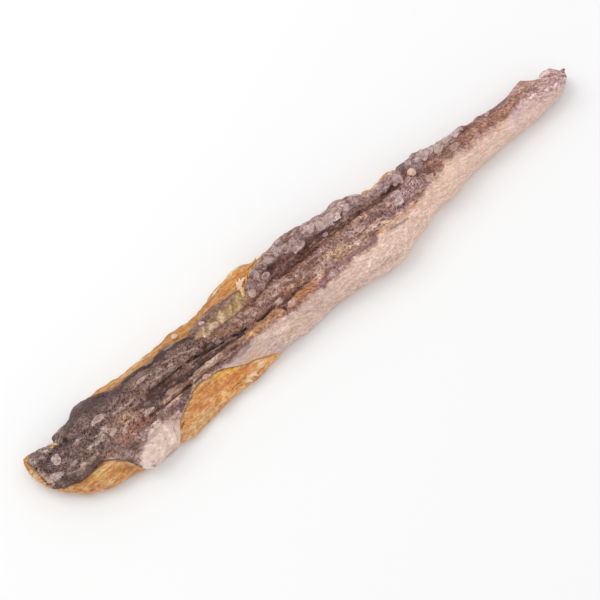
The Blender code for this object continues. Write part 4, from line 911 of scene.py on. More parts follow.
# strokes of the same kind on the flesh
fleshPatches = {
    "bulge coat": ("cb9359", 0.8, 0, [
        (-141, -9.5, 1), (-136, -12, 1.5), (-130, -14, 2.5), (-124, -15.5, 2), (-119, -18, 1)]),
    "cream rim": ("dcb185", 0.8, 0.15, [
        (-127, -11, 0.7), (-124, -13, 0.8), (-121, -15.5, 0.8), (-118.5, -17.5, 0.7)]),
    "orange brown": ("b37a48", 0.7, 0, [(-139, -10.5, 0.8), (-135, -11.3, 0.9), (-132, -11.8, 0.8)]),
    "orange brown b": ("af7242", 0.7, -0.2, [(-126, -15.5, 1), (-122, -17, 1), (-118.5, -18.8, 0.8)]),
    "pink spot": ("d8ab8d", 0.8, 0.15, [(-134.5, -14, 0.8), (-133, -13.8, 0.5)]),
    "tip amber": ("cba277", 0.8, 0, [(-149.3, 8, 0.4), (-149.1, 5, 0.5), (-148.9, 3, 0.4)]),
    "tip corner": ("c99858", 0.9, 0, [(-148, 12.3, 0.8), (-145.5, 12, 0.8)]),
    "amber bit": ("c99a60", 0.9, 0, [(-136.8, 9.5, 0.5), (-135.8, 7.3, 0.5)]),
    "flank a": ("da9d63", 0.8, 0, [
        (-93, -18, 1.5), (-86, -17, 2.5), (-78, -16, 3.5), (-70, -16, 3.5), (-62, -17.5, 2)]),
    "flank orange a": ("cc8647", 0.7, 0, [(-80, -12, 1.5), (-76, -12.5, 1.5)]),
    "flank orange b": ("c57a42", 0.8, 0, [(-81, -15, 0.9), (-76, -14.8, 1.1), (-72, -14.5, 0.9)]),
    "flank pink": ("c98355", 0.7, 0, [(-84, -17, 1.1), (-82, -17.5, 0.9)]),
    "flank yellow": ("d8963f", 0.8, 0, [(-70, -12.5, 1.5), (-66, -13, 1.2), (-62, -14.5, 1)]),
    "flank orange c": ("cf8440", 0.8, 0, [(-66, -16, 0.8), (-61, -16.5, 0.8), (-57, -16.3, 0.9)]),
    "flank light": ("e6bd97", 0.8, 0.2, [(-60, -20, 0.7), (-57, -19.5, 0.7)]),
    "flank light b": ("e8c09d", 0.7, 0.2, [(-53, -18.5, 0.9), (-51, -18, 0.6)]),
    "shred shadow": ("8a5526", 0.85, -0.3, [(-34.8, 9.6, 0.35), (-32.8, 12.4, 0.4), (-30.8, 15, 0.35)]),
    "flank rust a": ("c4763c", 0.6, 0, [(-87, -15.8, 1), (-83, -16.6, 1.2), (-80, -17.6, 0.8)]),
    "flank rust b": ("c87c3e", 0.6, 0, [(-68, -17, 0.7), (-62, -18, 0.8), (-56, -17.6, 0.6)]),
    "flank gold a": ("e6b06a", 0.5, 0, [(-89, -15, 0.8), (-85, -13.4, 0.8), (-81, -11.4, 0.7)]),
    "flank gold b": ("e2a650", 0.6, 0, [(-75, -10.4, 0.6), (-70, -11, 0.9), (-65, -12.6, 0.8)]),
    "flank gold c": ("e0a85c", 0.5, 0, [(-78, -19, 0.8), (-72, -19.8, 0.7), (-67, -19.6, 0.6)]),
    "flank cream a": ("efcfa8", 0.6, 0.15, [(-62, -20.4, 0.5), (-59.6, -19.4, 0.6), (-57.4, -20.2, 0.4)]),
    "flank cream b": ("efcfa8", 0.6, 0.15, [(-54.4, -19.4, 0.5), (-52.4, -18.2, 0.6)]),
    "bulge gold": ("dda95e", 0.55, 0, [(-134, -12.4, 1), (-128, -12.6, 1.2), (-124, -14.4, 1)]),
    "bulge low": ("cf9a55", 0.6, 0, [(-128, -17, 0.8), (-122, -17.8, 0.8)]),
    "back gold": ("cf9a52", 0.5, 0, [(-98, 13.4, 0.8), (-88, 13.8, 0.9), (-80, 13.4, 0.8)]),
    "flank low": ("d7a570", 0.8, 0, [(-92, -20, 1), (-86, -20.5, 0.8), (-80, -19.8, 0.8)]),
    "flank tear": ("7a4a2b", 0.9, -0.5, [(-94.5, -18.3, 0.3), (-92.5, -17.7, 0.35)]),
    "flank crack": ("a8662f", 0.8, -0.35, [(-70, -18.7, 0.2), (-64, -18.8, 0.2), (-60, -18.5, 0.2)]),
    "flank right": ("deaa6a", 0.8, 0, [(-50, -18, 0.9), (-44, -18.8, 0.7), (-38, -19.2, 0.5)]),
    "back band a": ("b38045", 0.8, 0, [(-105, 13, 1.2), (-95, 13, 1.2), (-85, 13, 1.2)]),
    "back band b": ("ba8340", 0.8, 0, [(-85, 14, 1), (-75, 14, 1)]),
    "back band c": ("b98248", 0.8, 0, [(-66, 12.5, 1), (-60, 14, 1)]),
    "back band d": ("c78b57", 0.8, 0, [(-50, 15.5, 1), (-45, 16.5, 1)]),
    "back outer": ("cfa77e", 0.6, 0, [(-100, 15, 0.7), (-90, 15, 0.7), (-80, 15.5, 0.7)]),
    "back streak": ("b9773f", 0.75, -0.15, [
        (-62, 12, 0.6), (-56, 13.5, 0.6), (-50, 13.7, 0.7), (-45, 14.2, 0.8), (-40, 13.5, 1), (-38, 11.5, 0.6)]),
    "back bulge": ("cd8b44", 0.8, 0, [(-40, 17, 2), (-34, 18, 2.5), (-28, 18, 2)]),
    "back bulge rim": ("e2c3a0", 0.6, 0, [(-45, 19, 0.6), (-36, 21.5, 0.8), (-30, 22, 0.8)]),
    "inlet": ("b5824f", 0.9, 0, [(-71, 10, 0.8), (-69.5, 8.8, 0.8), (-68, 8.8, 0.6)]),
    "back tail amber": ("cba07a", 0.8, 0, [(38, 7.5, 0.6), (44, 7.8, 0.6), (50, 6.8, 0.4)]),
    "belly sliver": ("d1b097", 0.8, 0, [(-28, -18.5, 0.3), (-20, -17.8, 0.3)]),
}
# firm amber flesh in bundles that run lengthwise
fleshBody = {
    "voxel": 0.55, "evenings": 4, "bundles": 0.34, "fibres": 0.15, "chips": 0.16, "cracks": 0.3, "sole": 0.15,
    "underSkin": 0.15, "skinInside": 0.4, "skinReach": 2.4, "soleHeight": (0.8, 0.1), "lowHeight": (2.5, 0.3),
    "weld": 0.01, "soften": 0.5, "crackSteps": (0.42, 0.62), "strokeSoft": 0.6, "raggedStroke": 0.7,
    "strokesX": ((0.9, 3, 101),), "strokesY": ((0.6, 2.4, 107),),
    "blush": ((1, (5, 3.4, 3.4), 61), (0.6, (2, 1.6, 1.6), 63)),
    "bundleSize": (22, 2.6, 2.6), "fibreSize": (6, 0.9, 0.9), "chipSize": (1.8, 1.3, 1.3), "crackSize": (9, 1.5, 1.5),
    "bellySide": [(-150, "cf9a66"), (-110, "cc9562"), (-60, "d69c62"), (-30, "d8a064"), (40, "d0a06c"),
                  (150, "d3aa7e")],
    "backSide": [(-150, "b88549"), (-60, "b68145"), (150, "c69b6c")],
    "low": [(-150, "d9b083"), (150, "dcb78f")], "crown": [(-150, 3), (0, 5), (150, 0)],
}
# how much lighter or darker each texture makes the flesh
fleshShade = {
    "bundles": 0.22, "fibres": 0.26, "chips": 0.34, "cracks": 0.35, "broad": 0.22, "least": -0.9, "most": 0.7,
    "swing": (0.45, 1.0, 1.6), "blush": (0.02, -0.06, -0.22),
}


def makeFlesh(skin):
    look, depth = fleshBody, fleshShade
    flesh = bpy.data.objects.new("fish_flesh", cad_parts["flesh"].data.copy())
    bpy.context.scene.collection.objects.link(flesh)
    flesh.data.materials.clear()
    pickOnly(flesh)
    bpy.ops.object.mode_set(mode="EDIT")
    bpy.ops.mesh.select_all(action="SELECT")
    bpy.ops.mesh.remove_doubles(threshold=look["weld"] * mm)
    bpy.ops.object.mode_set(mode="OBJECT")
    remesh = flesh.modifiers.new("even skin", "REMESH")
    remesh.mode = "VOXEL"
    remesh.voxel_size = look["voxel"] * mm
    smooth = flesh.modifiers.new("soften facets", "SMOOTH")
    smooth.factor = look["soften"]
    smooth.iterations = look["evenings"]
    applyAll(flesh)
    points = pointsOf(flesh.data)
    normals = normalsOf(flesh.data)
    skinTree = treeOf(skin.data)
    covered = np.zeros(len(points))
    for i, (place, out) in enumerate(zip(points.tolist(), normals.tolist())):
        start = Vector(place) - Vector(out) * look["skinInside"]
        covered[i] = skinTree.ray_cast(start, Vector(out), look["skinReach"])[0] is not None
    px, py = points[:, 0], points[:, 1]
    ragged = grains(points, strokes["ragged"])
    bundles = ridged(points, look["bundleSize"], 5)
    fibres = grain(points, look["fibreSize"], 15)
    chips = grain(points, look["chipSize"], 25)
    cracks = ease(grain(points, look["crackSize"], 35), *look["crackSteps"])

    height = points[:, 2]
    tone = coat(look["bellySide"], px)
    for name, share in (("backSide", ease(py - between(look["crown"], px), 0, 3)),
                        ("low", ease(height, *look["lowHeight"]))):
        tone = tone + (coat(look[name], px) - tone) * share[:, None]
    relief = np.zeros(len(px))
    paint(tone, relief, np.zeros(len(px)), fleshPatches, px + grains(points, look["strokesX"]),
          py + grains(points, look["strokesY"]), look["strokeSoft"], ragged * look["raggedStroke"], np.ones(len(px)))
    relief += look["bundles"] * (bundles - 0.55) + look["fibres"] * fibres
    relief += look["chips"] * chips - look["cracks"] * cracks
    light = depth["bundles"] * (bundles - 0.5) + depth["fibres"] * fibres + depth["chips"] * chips
    light += depth["broad"] * grain(points, (6, 3, 3), 55) - depth["cracks"] * cracks
    tone *= np.exp(np.clip(light, depth["least"], depth["most"])[:, None] * depth["swing"])
    tone *= np.exp(grains(points, look["blush"])[:, None] * depth["blush"])
    relief *= 1 - (1 - look["sole"]) * ease(height, *look["soleHeight"])
    relief = np.where(covered > 0, np.minimum(relief, 0) - look["underSkin"], relief) + outlinePush(px, py)
    points = points + normals * relief[:, None]
    points[:, 2] = np.maximum(points[:, 2], 0)
    setPoints(flesh.data, points)
    storeColour(flesh.data, "tone", tone)
    bpy.ops.object.shade_smooth()
    print("flesh:", len(flesh.data.polygons) * 2, "triangles")
    return flesh


# single scales that came loose and dried where they lie, square tiles left along the tail's back, sunken lobes that
# swell the roll along the back, and one dished scale whose rim stands up. Each row is x, y, half length, half width,
# turn in degrees, tilt in degrees, tint
looseScales = {
    "sides": 24, "kinds": ("single", "tiles", "lobes", "dish"), "rimWidth": 0.08, "rimAngle": 50,
    "steps": ((0.12, 0.0), (0.16, -0.35), (0.24, -0.1), (0.24, 0.0)), "feel": 0.7,
    "above": 5, "reach": 9, "most": 2.0, "least": -1.5, "noGround": -0.5,
    "single": {"thickness": 0.3, "uneven": 0.4, "square": 0.15, "lift": 0.1, "rim": 0.12, "rough": 0.15, "rows": [
        (-139.8, 1.8, 2.6, 1.9, 62, 2, "af9791"), (-144.2, -2.8, 2.4, 1.2, -42, 3, "b79e95"),
        (-117.8, 3.2, 2.9, 1.4, 4, 2, "ad8f86"), (-116.6, -4.9, 1.6, 1.2, 20, 3, "af9185"),
        (-94.8, 4.7, 2.6, 0.8, 2, 2, "aa8e87"), (-86, 3.3, 0.7, 0.6, 0, 2, "b49490"),
        (-73.6, -9.7, 1.9, 1.0, -24, 3, "c69e88"), (-80.5, -9.8, 1.2, 0.6, 18, 3, "ca9e83"),
        (-100.8, -7.3, 2.1, 0.7, 4, 3, "bd9b8f"), (-59.8, 9.1, 1.3, 1.2, 0, 3, "bb9d95"),
        (-57.2, 4.4, 1.9, 1.1, -24, 4, "d5b59e"), (-36, 4.2, 1.7, 1.5, 20, 5, "bea094"),
        (-33.4, 6.4, 1.2, 1.0, 0, 4, "947772"), (-29.6, 9.2, 1.7, 1.2, 70, 4, "b39690"),
        (-30.2, -5.6, 1.4, 0.9, 0, 6, "c1a297"), (-27, -9.4, 1.7, 1.4, 0, 3, "c79f8d"),
        (-60.8, -1.6, 1.4, 1.0, -28, 5, "91716a"), (-43.2, -0.8, 1.5, 0.9, -10, 4, "ae8c80"),
        (5, -5, 1.9, 1.5, 0, 3, "bf9781"), (18.2, -4.2, 2.0, 0.9, 18, 4, "ba9892"),
        (41.4, -1.9, 2.2, 1.7, 74, 4, "b69895"), (39.5, -4.4, 1.6, 1.1, 4, 3, "bb9d99"),
        (6.2, 5.5, 1.4, 0.7, 0, 6, "c2a19d"), (18, 5.2, 1.5, 0.6, 8, 6, "b38e7d"),
        (-12.6, 6.4, 1.1, 0.6, 0, 5, "8b6b66"), (-20.6, 6.4, 1.0, 0.6, 10, 5, "886a66"),
        (24.4, 5.1, 1.3, 0.5, -6, 5, "9a7874"), (78.1, -1.1, 2.5, 1.6, 10, 4, "a98377"),
        (58, -5.4, 2.4, 1.7, 10, 3, "b79389"), (103.4, 3.1, 2.0, 1.0, 28, 3, "ae9393"),
    ]},
    "tiles": {"thickness": 0.6, "uneven": 0.55, "square": 0.5, "lift": -0.04, "rim": -0.2, "rough": 0.3, "rows": [
        (57, 7.0, 2.2, 1.2, 52, 6, "af9390"), (59.4, 8, 2.2, 1.1, 48, 7, "a48883"),
        (64.8, 5.9, 2.7, 2.5, 20, 8, "bc9e9a"), (68.8, 5.3, 1.7, 1.8, 10, 9, "b59591"),
        (72.6, 4.2, 2.8, 2.3, 10, 8, "bfa29c"), (78.6, 5.1, 2.6, 2.2, 12, 8, "ba9d96"),
        (75.8, 6.4, 1.6, 1.4, 0, 9, "b4968f"), (84.4, 5.0, 2.7, 2.1, 8, 7, "c3a8a3"),
        (87.8, 5.3, 1.4, 1.5, 0, 7, "b19794"), (59.6, 2.4, 2.5, 1.4, 24, 5, "987976"),
        (56.8, 2.5, 1.4, 1.1, 0, 5, "a18388"), (70.3, 0.8, 1.7, 0.9, 10, 4, "a8837b"),
        (46.6, 3.5, 2.5, 2.6, 4, 5, "c6a9a3"),
    ]},
    "lobes": {"thickness": 0.5, "uneven": 0.6, "square": 0.3, "lift": -0.14, "rim": -0.1, "rough": 0.25, "rows": [
        (-15.6, 11.6, 2.4, 1.3, 20, 4, "ab928c"), (-11.6, 10.4, 2.0, 1.5, 10, 4, "bc9b94"),
        (-7.8, 8.3, 2.2, 1.5, 0, 4, "cdb0ac"), (-5, 7.9, 1.4, 1.0, 20, 4, "ba9a97"),
        (2.3, 11, 2.6, 1.9, 10, 4, "c7aca8"), (6.5, 10.2, 1.8, 1.3, 30, 4, "c0a49f"),
        (11.4, 7.8, 1.9, 1.3, 0, 4, "cbaba7"), (14.9, 7.6, 2.0, 1.4, -20, 4, "f3dbd7"),
        (20.6, 7.8, 1.5, 1.1, 0, 4, "cdafaa"),
    ]},
    "dish": {"thickness": 0.9, "uneven": 0.2, "square": 0.0, "lift": 0.0, "rim": 0.45, "rough": 0.1, "rows": [
        (-26.6, 6.7, 2.0, 1.3, 6, 4, "ab8f89"),
    ]},
}


def groundAt(grounds, x, y):  # the highest place above x, y, and the way it faces
    hits = [tree.ray_cast(Vector((x, y, 60)), Vector((0, 0, -1))) for tree in grounds]
    hits = [hit for hit in hits if hit[0] is not None]
    if not hits:
        return None
    best = max(hits, key=lambda hit: hit[0].z)
    return best[0], best[1]


def layPlate(plate, row, grounds, look, seed):
    # a copy with its own mesh, turned, tilted tailwards up and bent to what lies below
    x, y, halfLength, halfWidth, turn, tilt, tint = row
    place = groundAt(grounds, x, y)
    if place is None:
        return None
    copy = bpy.data.objects.new("plate", plate.data.copy())
    bpy.context.scene.collection.objects.link(copy)
    unit = pointsOf(copy.data)
    usual = looseScales
    out = Vector((0, 0, 0))
    for dx, dy in ((0, 0), (1, 0), (-1, 0), (0, 1), (0, -1)):
        side = groundAt(grounds, x + dx * usual["feel"] * halfLength, y + dy * usual["feel"] * halfWidth)
        if side:
            out += side[1] if side[1].z > 0 else -side[1]
    out.normalize()
    heading = Vector((math.cos(math.radians(turn)), math.sin(math.radians(turn)), 0))
    along = (heading - out * heading.dot(out)).normalized()
    across = out.cross(along)
    placed = []
    for u, v, w in unit.tolist():
        spin = math.atan2(v, u)
        corner = (math.cos(spin) ** 4 + math.sin(spin) ** 4) ** -0.25 - 1
        wobble = noise.noise(Vector((math.cos(spin) * 1.2 + seed * 7.1, math.sin(spin) * 1.2, 3.7)))
        swell = (1 + look["square"] * corner) * (1 + look["uneven"] * wobble)
        u, v = u * halfLength * swell, v * halfWidth * swell
        spot = place[0] + along * u + across * v
        under = [tree.ray_cast(spot + out * usual["above"], -out, usual["reach"]) for tree in grounds]
        drops = [(hit[0] - spot).dot(out) for hit in under if hit[0] is not None]
        sag = max(min(max(drops), usual["most"]), usual["least"]) if drops else usual["noGround"]
        sag += look["rough"] * noise.noise(spot * 0.8) * (w > -0.4)
        rise = w * look["thickness"] + sag + math.tan(math.radians(tilt)) * (u + halfLength) + look["lift"]
        placed.append(spot + out * rise)
    setPoints(copy.data, np.array([tuple(point) for point in placed]))
    reach = np.hypot(unit[:, 0], unit[:, 1])
    # a rim share above 0 lightens the rim and one below 0 darkens it, and the middle is a little darker: on the tiles
    # and lobes the darker rim is painted shade in the gaps between neighbouring plates
    shade = 1 + look["rim"] * ease(reach, 0.7, 1) - 0.1 * ease(reach, 0.75, 0.3)
    tone = linearColour(tint) * shade[:, None]
    storeColour(copy.data, "tone", tone)
    return copy


def makePlates(grounds):
    look = looseScales
    bpy.ops.object.select_all(action="DESELECT")
    bpy.ops.mesh.primitive_cylinder_add(vertices=look["sides"], radius=mm, depth=mm)
    plate = bpy.context.object
    for part in (plate.data.vertices, plate.data.edges):
        part.foreach_set("select", [False] * len(part))
    for face in plate.data.polygons:
        face.select = face.normal.z > 0.9
    bpy.ops.object.mode_set(mode="EDIT")
    bpy.ops.mesh.select_mode(type="FACE")
    for width, drop in look["steps"]:
        bpy.ops.mesh.inset(thickness=width * mm, depth=drop * mm)
    bpy.ops.object.mode_set(mode="OBJECT")
    edges = plate.modifiers.new("worn rim", "BEVEL")
    edges.width = look["rimWidth"] * mm
    edges.segments = 2
    edges.limit_method = "ANGLE"
    applyAll(plate)
    plates = []
    for kind in look["kinds"]:
        for row in look[kind]["rows"]:
            plates.append(layPlate(plate, row, grounds, look[kind], len(plates)))
    bpy.data.objects.remove(plate)
    plates = [each for each in plates if each]
    joined = joinAll(plates, "loose_scales")
    bpy.ops.object.shade_smooth_by_angle(angle=math.radians(look["rimAngle"]))
    print("loose scales:", len(plates))
    return joined


# torn strands of flesh and film: tint at the root and at the tip, then x, y, half width, and height if it stands free
tornStrands = {
    "steps": 18, "sides": 4, "thickness": 0.4, "arch": 0.25, "sunk": 0.05, "noGround": 3, "ahead": 0.1,
    "twist": 0.25, "twistGrain": 2.2, "streak": 0.12,
    "strands": [
        ("cfa468", "ecccb0", [(-39.2, 5.4, 0.1), (-38.8, 6.8, 0.6), (-37.7, 8.8, 0.85), (-36.8, 10.8, 1.0),
                              (-35.8, 12.8, 0.9), (-35.2, 14.4, 0.5), (-35, 15.6, 0.06)]),
        ("d6ad78", "e2bd94", [(-38.2, 8.4, 0.1), (-39.1, 7, 0.35), (-39.6, 5.6, 0.06)]),
        ("e0bb92", "f0d4ba", [(-36.9, 10.8, 0.2), (-35.2, 12.6, 0.75), (-33.5, 13.9, 0.65), (-31.8, 14.4, 0.4),
                              (-30.7, 14.6, 0.06)]),
        ("e3bf98", "edcdb0", [(-35.6, 12.6, 0.15), (-34, 14.4, 0.45), (-33.2, 15.6, 0.25), (-32.9, 16.2, 0.05)]),
        ("c58a48", "d49c5c", [(-34, 9.4, 0.2), (-32.5, 11.8, 0.4), (-30.6, 14.2, 0.42), (-27.6, 16.4, 0.12)]),
        ("d09a58", "dcaa70", [(-32.2, 10.4, 0.2), (-30.2, 12.8, 0.4), (-27.8, 15.2, 0.35), (-24.8, 17.2, 0.1)]),
        ("c58f4e", "d09c62", [(-31, 16.4, 0.1, 9.4), (-28.6, 15.8, 0.4, 11.2), (-26, 15.4, 0.35, 12.6),
                              (-24.4, 15.6, 0.2, 13), (-23.2, 16.2, 0.04, 13.2)]),
        ("c8935a", "d4a570", [(-29, 15.4, 0.1, 11), (-25, 15.2, 0.4, 12.6), (-21.6, 15, 0.35, 13.1),
                              (-18.6, 15.3, 0.22, 13.1), (-16.4, 15.8, 0.04, 13.1)]),
        ("e4bd8e", "f0d8bb", [(-62.4, -19.8, 0.15), (-60.8, -20.2, 0.45), (-59.4, -20.9, 0.1)]),
        ("e6c093", "f2dcc2", [(-59.6, -19.4, 0.15), (-57.8, -19.8, 0.5), (-56.2, -20.8, 0.1)]),
        ("dfb47c", "eed0aa", [(-55.8, -18.6, 0.15), (-53.6, -19, 0.5), (-51.4, -19.4, 0.1)]),
        ("d6a669", "e6c093", [(-66.4, -19.6, 0.1), (-64.8, -20.2, 0.4), (-63.2, -20.6, 0.1)]),
        ("d4a160", "e8c396", [(-78, -20, 0.1), (-75.4, -20.4, 0.4), (-72.8, -20.6, 0.1)]),
        ("c4a27c", "cdb08c", [(-137.8, 10.2, 0.2), (-136.8, 8.8, 0.42), (-135.9, 7.4, 0.3), (-135.4, 6.6, 0.06)]),
        ("857168", "947f75", [(-135, 6.6, 0.1), (-134, 7.6, 0.28), (-132.9, 8.2, 0.08)]),
        ("cba59a", "dcbfb0", [(142.6, -4.4, 0.2), (144.6, -4.8, 0.4), (146.6, -5.2, 0.2), (147.8, -5.4, 0.05)]),
        ("c39f9b", "d4b4ac", [(139.8, -7, 0.15), (142, -7.4, 0.4), (144.2, -7.2, 0.1)]),
    ],
}


def makeStrands(grounds):
    look = tornStrands
    strands = []
    for root, tip, spots in look["strands"]:
        bpy.ops.object.select_all(action="DESELECT")
        bpy.ops.mesh.primitive_grid_add(x_subdivisions=look["steps"], y_subdivisions=look["sides"], size=1)
        strand = bpy.context.object
        unit = pointsOf(strand.data) * mm + [0.5, 0, 0]  # along from 0 to 1, across from -0.5 to 0.5
        path = np.array([tuple(spot) + (np.nan,) * (4 - len(spot)) for spot in spots])
        run = np.concatenate([[0], np.cumsum(np.hypot(*np.diff(path[:, :2], axis=0).T))])
        along = unit[:, 0] * run[-1]
        place, ahead, behind = (np.stack([np.interp(along + shift, run, path[:, k]) for k in range(4)], axis=1)
                                for shift in (0, look["ahead"], -look["ahead"]))
        heading = (ahead - behind)[:, :2]
        heading /= np.maximum(np.hypot(heading[:, 0], heading[:, 1]), 1e-9)[:, None]
        offset = unit[:, 1] * 2 * place[:, 2]
        x, y = place[:, 0] - heading[:, 1] * offset, place[:, 1] + heading[:, 0] * offset
        arch = look["arch"] * (1 - (unit[:, 1] * 2) ** 2) * np.minimum(place[:, 2], 1)
        z = place[:, 3].copy()
        for k in np.flatnonzero(np.isnan(z)):
            found = groundAt(grounds, x[k], y[k]) or groundAt(grounds, place[k, 0], place[k, 1])
            z[k] = found[0].z - look["sunk"] if found else look["noGround"]
        twist = look["twist"] * grain(np.stack([x, y, z], axis=1), look["twistGrain"], 7)
        setPoints(strand.data, np.stack([x, y, z + arch + twist * np.minimum(place[:, 2], 0.6)], axis=1))
        share = unit[:, :1]
        tone = linearColour(root) * (1 - share) + linearColour(tip) * share
        tone *= 1 + look["streak"] * np.sin(unit[:, 1:2] * 9 + 3 * share)
        storeColour(strand.data, "tone", tone)
        wall = strand.modifiers.new("thickness", "SOLIDIFY")
        wall.thickness = look["thickness"] * mm
        wall.offset = 1
        applyAll(strand)
        strands.append(strand)
    joined = joinAll(strands, "torn_strands")
    bpy.ops.object.shade_smooth()
    print("torn strands:", len(strands))
    return joined


# crumbs of flesh that dried on: x, y, half sizes along X, Y and Z, tint
driedCrumbs = {"detail": 4, "lumps": 0.22, "smallLumps": 0.35, "lumpSizes": (0.9, 0.35), "sunk": 0.25, "crumbs": [
    (53.9, 1.6, 2.0, 1.8, 1.5, "dcbda8"), (-70.6, 13.4, 1.4, 1.2, 1.2, "e6c6ac"), (-31.6, -5, 0.5, 0.4, 0.4, "c9a995"),
    (5.4, 17.4, 0.6, 0.5, 0.7, "9c827d"), (135.4, -3.6, 0.7, 0.5, 0.4, "d9b9b2"),
]}


def makeCrumbs(grounds):
    look = driedCrumbs
    crumbs = []
    for seed, (x, y, halfX, halfY, halfZ, tint) in enumerate(look["crumbs"]):
        found = groundAt(grounds, x, y)
        if not found:
            continue
        bpy.ops.object.select_all(action="DESELECT")
        bpy.ops.mesh.primitive_ico_sphere_add(subdivisions=look["detail"], radius=mm)
        crumb = bpy.context.object
        unit = pointsOf(crumb.data)
        big, small = look["lumpSizes"]
        bulge = 1 + look["lumps"] * grain(unit, big, seed * 3.3)
        bulge += look["smallLumps"] * look["lumps"] * grain(unit, small, seed)
        centre = np.array(found[0]) + [0, 0, halfZ * (1 - 2 * look["sunk"])]
        setPoints(crumb.data, unit * bulge[:, None] * [halfX, halfY, halfZ] + centre)
        tone = linearColour(tint) * np.exp(0.9 * (bulge - 1))[:, None]
        storeColour(crumb.data, "tone", tone)
        crumbs.append(crumb)
    joined = joinAll(crumbs, "dried_crumbs")
    bpy.ops.object.shade_smooth()
    print("crumbs:", len(crumbs))
    return joined


# cured haddock skin: dry to the touch but faintly waxy, so highlights are broad and broken by its wrinkles.
# each pattern: texture, turn, length and width in mm, settings, range read from it, range given, where it shows
skinLook = {
    "bend": 1.4, "bendGrain": 2.6, "lineBump": 0.25, "speck": 0.55, "bellyShare": 0.32,
    "least": -0.75, "most": 1.05, "swing": (0.77, 1.0, 1.05), "roughest": 0.62, "smoothest": 0.4,
    "patterns": [
        ("ShaderNodeTexNoise", 0.3, 1.5, 1.1, {"Detail": 3.0, "Roughness": 0.65}, (0.32, 0.68), (-0.62, 0.72), "most"),
        # these two cell patterns on the net brighten the cell edges: painted highlights along the wrinkles
        ("ShaderNodeTexVoronoi", -0.6, 2.1, 1.1, {}, (0.02, 0.17), (0.95, -0.34), "net"),
        ("ShaderNodeTexVoronoi", 0.5, 1.7, 0.85, {}, (0.02, 0.15), (0.62, -0.2), "net"),
        ("ShaderNodeTexVoronoi", 0.0, 0.9, 1.5, {"feature": "F1"}, (0.15, 0.55), (-0.4, 0.25), "pits"),
        ("ShaderNodeTexNoise", 0.2, 2.6, 0.8, {"Detail": 5.0, "Roughness": 0.75}, (0.32, 0.68), (-0.2, 0.2), "belly"),
        ("ShaderNodeTexNoise", 0.08, 8.0, 0.9, {"Detail": 4.0, "Roughness": 0.7}, (0.34, 0.66), (-0.17, 0.17), "belly"),
        ("ShaderNodeTexVoronoi", 0.2, 1.6, 1.2, {}, (0.03, 0.25), (-0.45, 0.12), "mesh"),
        ("ShaderNodeTexNoise", 1.2, 4.5, 0.9, {"Detail": 2.0}, (0.35, 0.65), (-0.4, 0.4), "ribs"),
        ("ShaderNodeTexNoise", -0.06, 5.0, 0.55, {"Detail": 2.0}, (0.35, 0.65), (-0.5, 0.5), "streaks"),
    ],
}


def emptyMaterial(name):
    material = bpy.data.materials.new(name)
    material.use_nodes = True
    material.node_tree.nodes.clear()
    return material, material.node_tree


